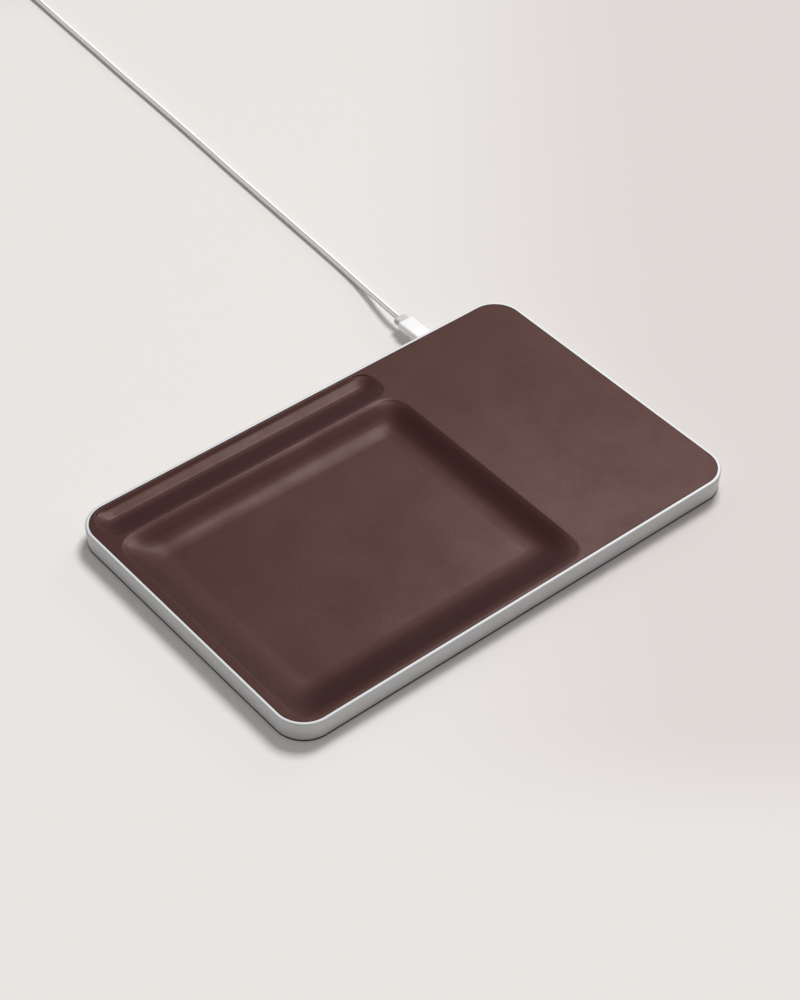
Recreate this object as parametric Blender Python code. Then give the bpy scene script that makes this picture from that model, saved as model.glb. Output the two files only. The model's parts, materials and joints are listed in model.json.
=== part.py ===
"""Leather-topped charging tray with its braided supply lead, as separate pieces in metres, +Z up.

The origin is on the table, under the middle of the tray. +X runs along the tray to the charging
pad, +Y to the side with the socket.
"""

import math

import bpy
import bmesh
from mathutils import Matrix, Vector

MM = 0.001

# Outline of the leather top, seen from above, and the metal rim round it
LEATHER_LENGTH = 271.0 * MM
LEATHER_WIDTH = 173.3 * MM
LEATHER_CORNER = 14.8 * MM
RIM_LAND = 1.3 * MM
RIM_CHAMFER = 0.5 * MM
SIDE_DRAFT = 0.6 * MM
SIDE_FOOT_ROUND = 0.7 * MM
CORNER_STEPS = 8
SMOOTH_ANGLE = 0.6

# Gaps between pieces that touch
SEAT_GAP = 0.3 * MM
SLIDE_GAP = 0.2 * MM
OVERRUN = 1.0 * MM

# Walls and sheets
LEATHER_THICKNESS = 1.0 * MM
LEATHER_EDGE_ROLL = 0.4 * MM
FORMER_WALL = 0.8 * MM
FRAME_WALL_INSET = 0.8 * MM
LEDGE_DEPTH = 1.9 * MM
LEDGE_THICKNESS = 1.0 * MM
BASE_PLATE_THICKNESS = 1.2 * MM
BASE_PAD_THICKNESS = 0.8 * MM
BASE_PAD_INSET = 2.5 * MM
BALLAST_THICKNESS = 0.8 * MM
BALLAST_MARGIN = 2.0 * MM

# Flat charging pad, from the crest of the bowl to the leather's right edge
PAD_LENGTH = 93.7 * MM

# Bowl of the valet side, in the room that the pad and the trough leave: margins run from the
# leather's edge to the crest of the bowl
BOWL_LEFT_MARGIN = 6.0 * MM
BOWL_FRONT_MARGIN = 4.8 * MM
BOWL_CORNER = 9.5 * MM
BOWL_DEPTH = 5.8 * MM
BOWL_SLOPE = 16.5 * MM
BOWL_FLOOR_CORNER = 5.0 * MM
BOWL_WALL_SHARES = (
    (0.0, 0.0),
    (0.05, 0.05),
    (0.13, 0.18),
    (0.27, 0.45),
    (0.43, 0.69),
    (0.62, 0.87),
    (0.82, 0.97),
    (1.0, 1.0),
)

# Pen trough along the back of the bowl
TROUGH_LEFT_MARGIN = 4.8 * MM
TROUGH_BACK_MARGIN = 2.1 * MM
TROUGH_PAST_BOWL = 1.5 * MM
TROUGH_WIDTH = 22.1 * MM
RIDGE_WIDTH = 0.8 * MM
TROUGH_DEPTH = 3.0 * MM
TROUGH_CORNER = 9.0 * MM
TROUGH_END_RUN = 8.0 * MM
TROUGH_BACK_RUN = 7.6 * MM
TROUGH_BED_WIDTH = 2.4 * MM
TROUGH_BED_CORNER = 1.1 * MM
TROUGH_WALL_SHARES = (
    (0.0, 0.0),
    (0.07, 0.07),
    (0.2, 0.3),
    (0.42, 0.62),
    (0.7, 0.9),
    (1.0, 1.0),
)

# Screws that hold the base plate to the frame
BOSS_INSET = 3.0 * MM
BOSS_RADIUS = 2.6 * MM
BOSS_TOP_BELOW_LEATHER = 5.2 * MM
BOSS_END_INSET = 17.5 * MM
BASE_SCREW_RADIUS = 0.8 * MM
BASE_SCREW_HEAD_RADIUS = 1.8 * MM
BASE_SCREW_HEAD_HEIGHT = 0.8 * MM
BASE_SCREW_LENGTH = 4.6 * MM
SCREW_HOLE_TIP_ROOM = 0.4 * MM
SCREW_SIDES = 12
COLUMN_SIDES = 16

# Charging module under the pad
COIL_OUTER_RADIUS = 22.0 * MM
COIL_INNER_RADIUS = 10.0 * MM
COIL_THICKNESS = 0.8 * MM
COIL_PITCH = 28.0 * MM
COIL_SIDES = 40
MODULE_BACK_ROOM_SHARE = 0.2645
FERRITE_MARGIN = 4.0 * MM
FERRITE_THICKNESS = 0.8 * MM
SPREADER_THICKNESS = 0.5 * MM
CARRIER_THICKNESS = 1.0 * MM
CARRIER_LIP = 1.0 * MM
CARRIER_LIP_HEIGHT = 1.4 * MM
CARRIER_EAR = 6.5 * MM
CARRIER_CORNER = 3.0 * MM
POST_RADIUS = 2.3 * MM
POST_END_INSET = 4.0 * MM
CARRIER_SCREW_RADIUS = 0.8 * MM
CARRIER_SCREW_HEAD_RADIUS = 1.7 * MM
CARRIER_SCREW_HEAD_HEIGHT = 0.8 * MM
CARRIER_SCREW_BITE = 2.6 * MM
COIL_LEAD_DIAMETER = 1.0 * MM
COIL_LEAD_SIDE_GAP = 2.0 * MM
COIL_LEAD_ON_BOARD = 2.0 * MM
COIL_LEAD_POINT_SPACING = 11.0 * MM
COIL_LEAD_PLACE_SHARES = {"coil_lead_front": 0.32, "coil_lead_middle": -0.32, "coil_lead_back": 0.0}

# Socket in the back wall, with the board that carries it
SOCKET_SHIFT_LEFT = 1.65 * MM
SOCKET_LENGTH = 7.4 * MM
SOCKET_WALL = 0.25 * MM
SOCKET_MOUTH_DEPTH = 0.9 * MM
TONGUE_WIDTH = 6.7 * MM
TONGUE_THICKNESS = 0.7 * MM
TONGUE_LENGTH = 4.6 * MM
INSULATOR_LENGTH = 1.5 * MM
BOARD_LENGTH = 42.0 * MM
BOARD_WIDTH = 23.0 * MM
BOARD_THICKNESS = 0.8 * MM
BOARD_BACK_GAP = 2.4 * MM
BOARD_CORNER = 1.5 * MM
BOARD_SCREW_INSET = 4.0 * MM
STANDOFF_RADIUS = 2.2 * MM
STANDOFF_HEIGHT = 0.85 * MM
BOARD_SCREW_RADIUS = 0.7 * MM
BOARD_SCREW_HEAD_RADIUS = 1.6 * MM
BOARD_SCREW_HEAD_HEIGHT = 0.9 * MM
BOARD_SCREW_BITE = 1.2 * MM

# Parts on the board: length, width and height, then their places as shares of the board's
# length and width from its middle
BOARD_PART_SIZES = {
    "controller_chip": (7.0 * MM, 7.0 * MM, 0.9 * MM),
    "driver_chip": (5.0 * MM, 5.0 * MM, 0.8 * MM),
    "power_inductor": (6.5 * MM, 6.5 * MM, 3.0 * MM),
    "resonance_capacitor_left": (4.0 * MM, 7.2 * MM, 3.0 * MM),
    "resonance_capacitor_right": (4.0 * MM, 7.2 * MM, 3.0 * MM),
}
BOARD_PART_PLACE_SHARES = {
    "controller_chip": (-0.02, -0.02),
    "driver_chip": (0.2, 0.1),
    "power_inductor": (-0.34, 0.16),
    "resonance_capacitor_left": (-0.19, -0.27),
    "resonance_capacitor_right": (0.2, -0.27),
}
BOARD_PART_EDGE = 0.25 * MM
BOARD_CORNER_STEPS = 3

# Plug of the supply lead
PLUG_SHELL_WIDTH = 8.25 * MM
PLUG_SHELL_HEIGHT = 2.4 * MM
PLUG_SHELL_LENGTH = 6.6 * MM
PLUG_SHELL_WALL = 0.3 * MM
PLUG_WIDTH = 9.9 * MM
PLUG_HEIGHT = 4.9 * MM
PLUG_LENGTH = 17.6 * MM
PLUG_EDGE = 0.4 * MM
COLLAR_WIDTH = 7.3 * MM
COLLAR_HEIGHT = 3.8 * MM
COLLAR_LENGTH = 4.3 * MM
COLLAR_EDGE = 0.5 * MM
PLUG_STEPS = 8
COLLAR_STEPS = 6
SHELL_STEPS = 5
BLADE_STEPS = 3

# Braided cord, on the table after its plug, then wound up beyond the photographed stretch
CORD_DIAMETER = 3.2 * MM
CORD_POINT_SPACING = 8.0 * MM
CORD_ROUTE = (
    (0.08700, 0.11125, 0.00620),
    (0.08720, 0.11800, 0.00618),
    (0.08880, 0.13000, 0.00510),
    (0.09120, 0.14500, 0.00290),
    (0.09310, 0.16000, 0.00175),
    (0.09470, 0.18165, 0.00160),
    (0.09650, 0.21260, 0.00160),
    (0.09840, 0.24440, 0.00160),
    (0.10035, 0.27720, 0.00160),
    (0.10275, 0.31150, 0.00160),
    (0.10540, 0.35500, 0.00160),
    (0.10720, 0.39000, 0.00160),
    (0.10960, 0.42770, 0.00160),
    (0.11190, 0.46580, 0.00160),
    (0.11390, 0.49730, 0.00175),
    (0.11480, 0.51400, 0.00245),
    (0.11500, 0.52300, 0.00270),
    (0.11500, 0.52650, 0.00270),
)
WIND_CENTRE = (0.13850, 0.53000)
WIND_OUTER_RADIUS = 23.5 * MM
WIND_PITCH = 3.75 * MM
WIND_TURNS_PER_LAYER = 3
WIND_LAYERS = 4
WIND_POINTS_PER_TURN = 24
TAIL_ROUTE = (
    (0.11500, 0.53350, 0.01395),
    (0.11500, 0.53700, 0.01390),
    (0.11640, 0.54700, 0.01200),
    (0.12320, 0.55580, 0.00860),
    (0.13300, 0.56040, 0.00540),
    (0.14400, 0.56040, 0.00310),
    (0.15420, 0.55640, 0.00260),
    (0.16250, 0.54880, 0.00245),
    (0.16700, 0.54050, 0.00245),
    (0.16800, 0.53350, 0.00245),
    (0.16800, 0.53000, 0.00245),
)
TIE_WIDTH = 8.0 * MM
TIE_THICKNESS = 0.8 * MM
TIE_CORNER = 2.5 * MM
TIE_CORNER_STEPS = 4
TIE_ANGLES = (90.0, 270.0)

# Places that follow from the sizes above
leather_half = Vector((LEATHER_LENGTH / 2, LEATHER_WIDTH / 2))
rim_outset = RIM_LAND + RIM_CHAMFER
frame_bottom = BASE_PAD_THICKNESS
base_plate_bottom = BASE_PAD_THICKNESS + SEAT_GAP
base_plate_top = base_plate_bottom + BASE_PLATE_THICKNESS
ballast_bottom = base_plate_top + SEAT_GAP
ballast_top = ballast_bottom + BALLAST_THICKNESS
moulded_stack = FORMER_WALL + SEAT_GAP + LEATHER_THICKNESS
bowl_stack = ballast_top + SEAT_GAP + moulded_stack + BOWL_DEPTH
module_stack = (
    base_plate_top
    + SEAT_GAP
    + CARRIER_SCREW_HEAD_HEIGHT
    + SEAT_GAP
    + CARRIER_THICKNESS
    + SEAT_GAP
    + SPREADER_THICKNESS
    + SEAT_GAP
    + FERRITE_THICKNESS
    + SEAT_GAP
    + COIL_THICKNESS
    + SEAT_GAP
    + COIL_THICKNESS
    + SEAT_GAP
    + moulded_stack
)
tray_height = max(bowl_stack, module_stack)
leather_underside = tray_height - LEATHER_THICKNESS
former_top = leather_underside - SEAT_GAP
former_underside = former_top - FORMER_WALL
ledge_top = former_underside - SEAT_GAP
boss_top = tray_height - BOSS_TOP_BELOW_LEATHER
boss_bottom = base_plate_top + SEAT_GAP

pad_low_x = leather_half.x - PAD_LENGTH
pad_centre_x = leather_half.x - PAD_LENGTH / 2
trough_high = Vector((pad_low_x + TROUGH_PAST_BOWL, leather_half.y - TROUGH_BACK_MARGIN))
trough_low = Vector((TROUGH_LEFT_MARGIN - leather_half.x, trough_high.y - TROUGH_WIDTH))
bowl_low = Vector((BOWL_LEFT_MARGIN, BOWL_FRONT_MARGIN)) - leather_half
bowl_high = Vector((pad_low_x, trough_low.y - RIDGE_WIDTH))
module_half = Vector((COIL_OUTER_RADIUS, COIL_OUTER_RADIUS + COIL_PITCH))

upper_coil_top = former_underside - SEAT_GAP
lower_coil_top = upper_coil_top - COIL_THICKNESS - SEAT_GAP
ferrite_top = lower_coil_top - COIL_THICKNESS - SEAT_GAP
spreader_top = ferrite_top - FERRITE_THICKNESS - SEAT_GAP
carrier_top = spreader_top - SPREADER_THICKNESS - SEAT_GAP
carrier_bottom = carrier_top - CARRIER_THICKNESS
ferrite_half = module_half + Vector((FERRITE_MARGIN, FERRITE_MARGIN))
pocket_half = ferrite_half + Vector((SEAT_GAP, SEAT_GAP))
carrier_half = pocket_half + Vector((CARRIER_EAR, CARRIER_LIP))

socket_mouth_y = leather_half.y + rim_outset - SOCKET_MOUTH_DEPTH
socket_back_y = socket_mouth_y - SOCKET_LENGTH
socket_bore = Vector((PLUG_SHELL_WIDTH / 2 + SLIDE_GAP, PLUG_SHELL_HEIGHT / 2 + SLIDE_GAP))
socket_half = socket_bore + Vector((SOCKET_WALL, SOCKET_WALL))
standoff_top = base_plate_top + STANDOFF_HEIGHT
board_bottom = standoff_top + SEAT_GAP
board_top = board_bottom + BOARD_THICKNESS
socket_x = pad_centre_x - SOCKET_SHIFT_LEFT
socket_height = board_top + SEAT_GAP + socket_half.y
board_half = Vector((BOARD_LENGTH / 2, BOARD_WIDTH / 2))
board_centre = Vector((socket_x, leather_half.y - FRAME_WALL_INSET - BOARD_BACK_GAP - board_half.y))
board_screw_places = [
    board_centre + Vector((x * (board_half.x - BOARD_SCREW_INSET), y * (board_half.y - BOARD_SCREW_INSET)))
    for x, y in ((-1, -1), (1, -1), (1, 1))
]
module_room_low = LEDGE_DEPTH - leather_half.y
module_room_high = board_centre.y - board_half.y
module_slack = module_room_high - module_room_low - 2 * carrier_half.y
module_back_room = module_slack * MODULE_BACK_ROOM_SHARE
module_centre = Vector((pad_centre_x, module_room_high - module_back_room - carrier_half.y))
post_reach = carrier_half - Vector((POST_RADIUS + SEAT_GAP, POST_END_INSET))
post_places = [module_centre + Vector((x * post_reach.x, y * post_reach.y)) for x in (-1, 1) for y in (-1, 1)]
boss_reach = leather_half - Vector((BOSS_INSET, BOSS_INSET))
boss_end_x = leather_half.x - BOSS_END_INSET
boss_places = [Vector((x * boss_end_x, y * boss_reach.y)) for x in (-1, 0, 1) for y in (-1, 1)]
boss_places += [Vector((x * boss_reach.x, 0)) for x in (-1, 1)]

plug_face_y = leather_half.y + rim_outset + SEAT_GAP
wind_bottom = TIE_THICKNESS + SEAT_GAP
wind_turns = WIND_TURNS_PER_LAYER * WIND_LAYERS


def clear_scene():
    for obj in list(bpy.data.objects):
        bpy.data.objects.remove(obj, do_unlink=True)


def make_material(name, colour, roughness, metallic=0.0):
    material = bpy.data.materials.new(name)
    material.use_nodes = True
    shader = material.node_tree.nodes["Principled BSDF"]
    shader.inputs["Base Color"].default_value = (*colour, 1.0)
    shader.inputs["Roughness"].default_value = roughness
    shader.inputs["Metallic"].default_value = metallic
    return material


def place(name, mesh, material, parent, location=(0, 0, 0)):
    """A visible piece, whose mesh is drawn about its own location in the tray's frame."""
    obj = bpy.data.objects.new(name, mesh)
    bpy.context.scene.collection.objects.link(obj)
    mesh.materials.append(material)
    obj.parent = parent
    obj.location = Vector(location) - parent.location
    return obj


def make_empty(name, location):
    empty = bpy.data.objects.new(name, None)
    bpy.context.scene.collection.objects.link(empty)
    empty.location = location
    return empty


def cut_or_join(target, name, mesh, operation):
    """A Boolean step of a piece, whose tool is drawn about the same place and stays out of renders."""
    tool = bpy.data.objects.new(name, mesh)
    bpy.context.scene.collection.objects.link(tool)
    tool.parent = target
    tool.hide_render = True
    tool.display_type = "WIRE"
    modifier = target.modifiers.new(name, "BOOLEAN")
    modifier.operation = operation
    modifier.object = tool


def finish_mesh(name, bm):
    bmesh.ops.recalc_face_normals(bm, faces=bm.faces)
    mesh = bpy.data.meshes.new(name)
    bm.to_mesh(mesh)
    bm.free()
    mesh.shade_smooth()
    mesh.set_sharp_from_angle(angle=SMOOTH_ANGLE)
    return mesh


def rounded_outline(low, high, radius, steps=CORNER_STEPS):
    """Points of a rectangle with round corners, anticlockwise from the front right corner."""
    corners = (
        (high.x - radius, low.y + radius, -90),
        (high.x - radius, high.y - radius, 0),
        (low.x + radius, high.y - radius, 90),
        (low.x + radius, low.y + radius, 180),
    )
    points = []
    for x, y, start in corners:
        for step in range(steps + 1):
            angle = math.radians(start + 90 * step / steps)
            points.append(Vector((x + radius * math.cos(angle), y + radius * math.sin(angle))))
    return points


def circle_outline(centre, radius, sides):
    angles = [2 * math.pi * step / sides for step in range(sides)]
    return [Vector((centre[0] + radius * math.cos(a), centre[1] + radius * math.sin(a))) for a in angles]


def leather_outline(outset, steps=CORNER_STEPS):
    """The leather's outline, moved outwards by outset."""
    half = leather_half + Vector((outset, outset))
    return rounded_outline(-half, half, LEATHER_CORNER + outset, steps)


def add_loft(bm, rings):
    """A closed solid through rings of equal point count, capped at both ends."""
    rows = [[bm.verts.new(point) for point in ring] for ring in rings]
    count = len(rows[0])
    for lower, upper in zip(rows, rows[1:]):
        for i in range(count):
            j = (i + 1) % count
            bm.faces.new((lower[i], lower[j], upper[j], upper[i]))
    bm.faces.new(list(reversed(rows[0])))
    bm.faces.new(rows[-1])


def at_height(outline, z):
    return [Vector((point.x, point.y, z)) for point in outline]


def add_prism(bm, outline, low, high):
    add_loft(bm, [at_height(outline, low), at_height(outline, high)])


def prism_mesh(name, outline, low, high):
    bm = bmesh.new()
    add_prism(bm, outline, low, high)
    return finish_mesh(name, bm)


def columns_mesh(name, places, radius, low, high, sides=COLUMN_SIDES):
    """Upright cylinders at several places, as one tool."""
    bm = bmesh.new()
    for spot in places:
        add_prism(bm, circle_outline(spot, radius, sides), low, high)
    return finish_mesh(name, bm)


def turned_mesh(name, profile, sides=SCREW_SIDES):
    """A closed solid turned about Z from (radius, height) pairs, bottom to top."""
    bm = bmesh.new()
    add_loft(bm, [at_height(circle_outline((0, 0), radius, sides), z) for radius, z in profile])
    return finish_mesh(name, bm)


def pill_ring(half_width, half_height, y, steps):
    """A flat-sided oval standing across Y, as the plug and its socket have."""
    radius = half_height
    points = []
    for side, start in ((1, -90), (-1, 90)):
        for step in range(steps + 1):
            angle = math.radians(start + 180 * step / steps)
            points.append(
                Vector((side * (half_width - radius) + radius * math.cos(angle), y, radius * math.sin(angle)))
            )
    return points


def pill_mesh(name, sections, steps=SHELL_STEPS):
    """A closed solid along Y through (half width, half height, y) sections."""
    bm = bmesh.new()
    add_loft(bm, [pill_ring(half_width, half_height, y, steps) for half_width, half_height, y in sections])
    return finish_mesh(name, bm)


def hollow_rings(low, high, outline_pair):
    """Bottom and top rings of the outer wall, then of the inner wall."""
    outer, inner = outline_pair
    return [at_height(outer, low), at_height(outer, high), at_height(inner, high), at_height(inner, low)]


def ring_mesh(name, rings):
    """A closed solid that goes round a hole: each ring joins the next, and the last the first."""
    bm = bmesh.new()
    rows = [[bm.verts.new(point) for point in ring] for ring in rings]
    count = len(rows[0])
    for index, lower in enumerate(rows):
        upper = rows[(index + 1) % len(rows)]
        for i in range(count):
            j = (i + 1) % count
            bm.faces.new((lower[i], lower[j], upper[j], upper[i]))
    return finish_mesh(name, bm)


def bowl_rings(plane, lid):
    """Rings of the bowl's surface hung from the height plane, closed by a lid above it."""
    rings = [at_height(rounded_outline(bowl_low, bowl_high, BOWL_CORNER), lid)]
    for run, drop in BOWL_WALL_SHARES:
        inset = Vector((BOWL_SLOPE, BOWL_SLOPE)) * run
        radius = BOWL_CORNER + (BOWL_FLOOR_CORNER - BOWL_CORNER) * run
        outline = rounded_outline(bowl_low + inset, bowl_high - inset, radius)
        rings.append(at_height(outline, plane - BOWL_DEPTH * drop))
    return rings


def trough_rings(plane, lid):
    """Rings of the trough's surface: its bed lies nearer to the back than to the ridge."""
    crest = rounded_outline(trough_low, trough_high, TROUGH_CORNER)
    bed_high = trough_high - Vector((TROUGH_END_RUN, TROUGH_BACK_RUN))
    bed_low = Vector((trough_low.x + TROUGH_END_RUN, bed_high.y - TROUGH_BED_WIDTH))
    bed = rounded_outline(bed_low, bed_high, TROUGH_BED_CORNER)
    rings = [at_height(crest, lid)]
    for run, drop in TROUGH_WALL_SHARES:
        outline = [a.lerp(b, run) for a, b in zip(crest, bed)]
        rings.append(at_height(outline, plane - TROUGH_DEPTH * drop))
    return rings


def loft_mesh(name, rings):
    bm = bmesh.new()
    add_loft(bm, rings)
    return finish_mesh(name, bm)


def moulded_sheet(name, top, thickness, edge_rings, material, parent):
    """A sheet of even thickness that dips into the bowl and the trough."""
    sheet = place(name, loft_mesh(name, edge_rings), material, parent)
    inside = top - thickness / 2
    bulge = bowl_rings(top - thickness, inside)
    channel = trough_rings(top - thickness, inside)
    cut_or_join(sheet, name + "_bowl_wall", loft_mesh(name, bulge), "UNION")
    cut_or_join(sheet, name + "_trough_wall", loft_mesh(name, channel), "UNION")
    cut_or_join(sheet, name + "_bowl_cut", loft_mesh(name, bowl_rings(top, top + OVERRUN)), "DIFFERENCE")
    cut_or_join(sheet, name + "_trough_cut", loft_mesh(name, trough_rings(top, top + OVERRUN)), "DIFFERENCE")
    return sheet


def leather_top(parent, material):
    edge = leather_outline(-SEAT_GAP)
    rings = [
        at_height(edge, leather_underside),
        at_height(edge, tray_height - LEATHER_EDGE_ROLL),
        at_height(leather_outline(-SEAT_GAP - LEATHER_EDGE_ROLL), tray_height),
    ]
    moulded_sheet("leather_top", tray_height, LEATHER_THICKNESS, rings, material, parent)


def top_former(parent, material):
    edge = leather_outline(-SEAT_GAP)
    rings = [at_height(edge, former_underside), at_height(edge, former_top)]
    former = moulded_sheet("top_former", former_top, FORMER_WALL, rings, material, parent)
    root = former_underside + FORMER_WALL / 2
    posts = columns_mesh("former_posts", post_places, POST_RADIUS, carrier_top + SEAT_GAP, root)
    cut_or_join(former, "former_posts", posts, "UNION")
    hole_top = carrier_top + SEAT_GAP + CARRIER_SCREW_BITE + SCREW_HOLE_TIP_ROOM
    bore = CARRIER_SCREW_RADIUS + SLIDE_GAP
    holes = columns_mesh("former_post_holes", post_places, bore, carrier_top - OVERRUN, hole_top, SCREW_SIDES)
    cut_or_join(former, "former_post_holes", holes, "DIFFERENCE")


def housing_frame(parent, material):
    """Metal rim, side wall and inner ledge in one piece, with the bosses of the base screws."""
    foot = frame_bottom + SIDE_FOOT_ROUND
    foot_outset = rim_outset - SIDE_DRAFT
    profile = (
        (0, tray_height),
        (0, ledge_top),
        (-LEDGE_DEPTH, ledge_top),
        (-LEDGE_DEPTH, ledge_top - LEDGE_THICKNESS),
        (-FRAME_WALL_INSET, ledge_top - LEDGE_THICKNESS),
        (-FRAME_WALL_INSET, frame_bottom),
        (foot_outset - SIDE_FOOT_ROUND, frame_bottom),
        (foot_outset, foot),
        (rim_outset, tray_height - RIM_CHAMFER),
        (RIM_LAND, tray_height),
    )
    rings = [at_height(leather_outline(outset), z) for outset, z in profile]
    frame = place("housing_frame", ring_mesh("housing_frame", rings), material, parent)
    bosses = columns_mesh("frame_bosses", boss_places, BOSS_RADIUS, boss_bottom, boss_top)
    cut_or_join(frame, "frame_bosses", bosses, "UNION")
    hole_top = base_plate_bottom + BASE_SCREW_LENGTH + SCREW_HOLE_TIP_ROOM
    bore = BASE_SCREW_RADIUS + SLIDE_GAP
    holes = columns_mesh("frame_boss_holes", boss_places, bore, boss_bottom - OVERRUN, hole_top, SCREW_SIDES)
    cut_or_join(frame, "frame_boss_holes", holes, "DIFFERENCE")
    window = socket_half + Vector((SEAT_GAP, SEAT_GAP))
    inner_y = leather_half.y - LEDGE_DEPTH - OVERRUN
    outer_y = leather_half.y + rim_outset + OVERRUN
    sections = [(window.x, window.y, inner_y), (window.x, window.y, outer_y)]
    cut = pill_mesh("frame_socket_window", sections, PLUG_STEPS)
    cut.transform(Matrix.Translation((socket_x, 0, socket_height)))
    cut_or_join(frame, "frame_socket_window", cut, "DIFFERENCE")


def base_plate(parent, material):
    edge = leather_outline(-FRAME_WALL_INSET - SEAT_GAP)
    sheet = prism_mesh("base_plate", edge, base_plate_bottom, base_plate_top)
    plate = place("base_plate", sheet, material, parent)
    root = (base_plate_bottom + base_plate_top) / 2
    standoffs = columns_mesh("plate_standoffs", board_screw_places, STANDOFF_RADIUS, root, standoff_top)
    cut_or_join(plate, "plate_standoffs", standoffs, "UNION")
    hole_bottom = standoff_top - BOARD_SCREW_BITE - SCREW_HOLE_TIP_ROOM
    bore = BOARD_SCREW_RADIUS + SLIDE_GAP
    taps = columns_mesh("plate_taps", board_screw_places, bore, hole_bottom, board_bottom, SCREW_SIDES)
    cut_or_join(plate, "plate_taps", taps, "DIFFERENCE")
    bm = bmesh.new()
    throat = BASE_SCREW_RADIUS + SEAT_GAP
    mouth = BASE_SCREW_HEAD_RADIUS + SEAT_GAP
    for spot in boss_places:
        levels = (
            (mouth, base_plate_bottom - OVERRUN),
            (mouth, base_plate_bottom),
            (throat, base_plate_bottom + BASE_SCREW_HEAD_HEIGHT),
            (throat, base_plate_top + OVERRUN),
        )
        add_loft(bm, [at_height(circle_outline(spot, radius, COLUMN_SIDES), z) for radius, z in levels])
    cut_or_join(plate, "plate_countersinks", finish_mesh("plate_countersinks", bm), "DIFFERENCE")


def base_pad(parent, material):
    outline = leather_outline(-BASE_PAD_INSET)
    place("base_pad", prism_mesh("base_pad", outline, 0, BASE_PAD_THICKNESS), material, parent)


def ballast_plate(parent, material):
    inset = Vector((BOWL_SLOPE + BALLAST_MARGIN, BOWL_SLOPE + BALLAST_MARGIN))
    outline = rounded_outline(bowl_low + inset, bowl_high - inset, BOWL_FLOOR_CORNER, BOARD_CORNER_STEPS)
    mesh = prism_mesh("ballast_plate", outline, ballast_bottom, ballast_top)
    place("ballast_plate", mesh, material, parent)


def base_screws(parent, material):
    profile = (
        (BASE_SCREW_HEAD_RADIUS, 0),
        (BASE_SCREW_RADIUS, BASE_SCREW_HEAD_HEIGHT),
        (BASE_SCREW_RADIUS, BASE_SCREW_LENGTH),
    )
    for index, spot in enumerate(boss_places, 1):
        name = f"base_screw_{index}"
        place(name, turned_mesh(name, profile), material, parent, (spot.x, spot.y, base_plate_bottom))


def pan_screw_profile(head_radius, head_height, radius, shank):
    """Head at the bottom, shank pointing up from height 0."""
    return ((head_radius, -head_height), (head_radius, 0), (radius, 0), (radius, shank))


def carrier_screws(parent, material):
    shank = SEAT_GAP + CARRIER_THICKNESS + SEAT_GAP + CARRIER_SCREW_BITE
    profile = pan_screw_profile(
        CARRIER_SCREW_HEAD_RADIUS, CARRIER_SCREW_HEAD_HEIGHT, CARRIER_SCREW_RADIUS, shank
    )
    for index, spot in enumerate(post_places, 1):
        name = f"carrier_screw_{index}"
        place(name, turned_mesh(name, profile), material, parent, (spot.x, spot.y, carrier_bottom - SEAT_GAP))


def board_screws(parent, material):
    shank = SEAT_GAP + BOARD_THICKNESS + SEAT_GAP + BOARD_SCREW_BITE
    profile = pan_screw_profile(BOARD_SCREW_HEAD_RADIUS, BOARD_SCREW_HEAD_HEIGHT, BOARD_SCREW_RADIUS, shank)
    for index, spot in enumerate(board_screw_places, 1):
        name = f"board_screw_{index}"
        seat = (spot.x, spot.y, board_top + SEAT_GAP)
        screw = place(name, turned_mesh(name, profile), material, parent, seat)
        screw.rotation_euler.x = math.pi


def charging_coils(parent, material):
    """A row of overlapping coils, of which every second one lies on its neighbours."""
    names = ("charging_coil_front", "charging_coil_middle", "charging_coil_back")
    radii = (COIL_OUTER_RADIUS, COIL_INNER_RADIUS)
    outlines = [circle_outline((0, 0), radius, COIL_SIDES) for radius in radii]
    for index, name in enumerate(names):
        step = index - (len(names) - 1) / 2
        top = upper_coil_top if index % 2 else lower_coil_top
        mesh = ring_mesh(name, hollow_rings(-COIL_THICKNESS, 0, outlines))
        place(name, mesh, material, parent, (module_centre.x, module_centre.y + step * COIL_PITCH, top))


def module_sheet(name, top, thickness, parent, material):
    outline = rounded_outline(-ferrite_half, ferrite_half, CARRIER_CORNER, BOARD_CORNER_STEPS)
    mesh = prism_mesh(name, outline, -thickness, 0)
    place(name, mesh, material, parent, (module_centre.x, module_centre.y, top))


def coil_carrier(parent, material):
    """Plate with a lip round the ferrite sheet and an ear for each screw post."""
    low = module_centre - carrier_half
    high = module_centre + carrier_half
    outline = rounded_outline(low, high, CARRIER_CORNER, BOARD_CORNER_STEPS)
    plate = prism_mesh("coil_carrier", outline, carrier_bottom, carrier_top)
    carrier = place("coil_carrier", plate, material, parent)
    lip_half = pocket_half + Vector((CARRIER_LIP, CARRIER_LIP))
    outlines = [
        rounded_outline(module_centre - half, module_centre + half, CARRIER_CORNER, BOARD_CORNER_STEPS)
        for half in (lip_half - Vector((0, SLIDE_GAP)), pocket_half)
    ]
    root = (carrier_bottom + carrier_top) / 2
    lip = ring_mesh("carrier_lip", hollow_rings(root, carrier_top + CARRIER_LIP_HEIGHT, outlines))
    cut_or_join(carrier, "carrier_lip", lip, "UNION")
    holes = columns_mesh(
        "carrier_holes",
        post_places,
        CARRIER_SCREW_RADIUS + SEAT_GAP,
        carrier_bottom - OVERRUN,
        carrier_top + OVERRUN,
        SCREW_SIDES,
    )
    cut_or_join(carrier, "carrier_holes", holes, "DIFFERENCE")


def main_board(parent, material):
    low, high = board_centre - board_half, board_centre + board_half
    outline = rounded_outline(low, high, BOARD_CORNER, BOARD_CORNER_STEPS)
    board = place("main_board", prism_mesh("main_board", outline, board_bottom, board_top), material, parent)
    holes = columns_mesh(
        "board_holes",
        board_screw_places,
        BOARD_SCREW_RADIUS + SEAT_GAP,
        board_bottom - OVERRUN,
        board_top + OVERRUN,
        SCREW_SIDES,
    )
    cut_or_join(board, "board_holes", holes, "DIFFERENCE")


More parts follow.
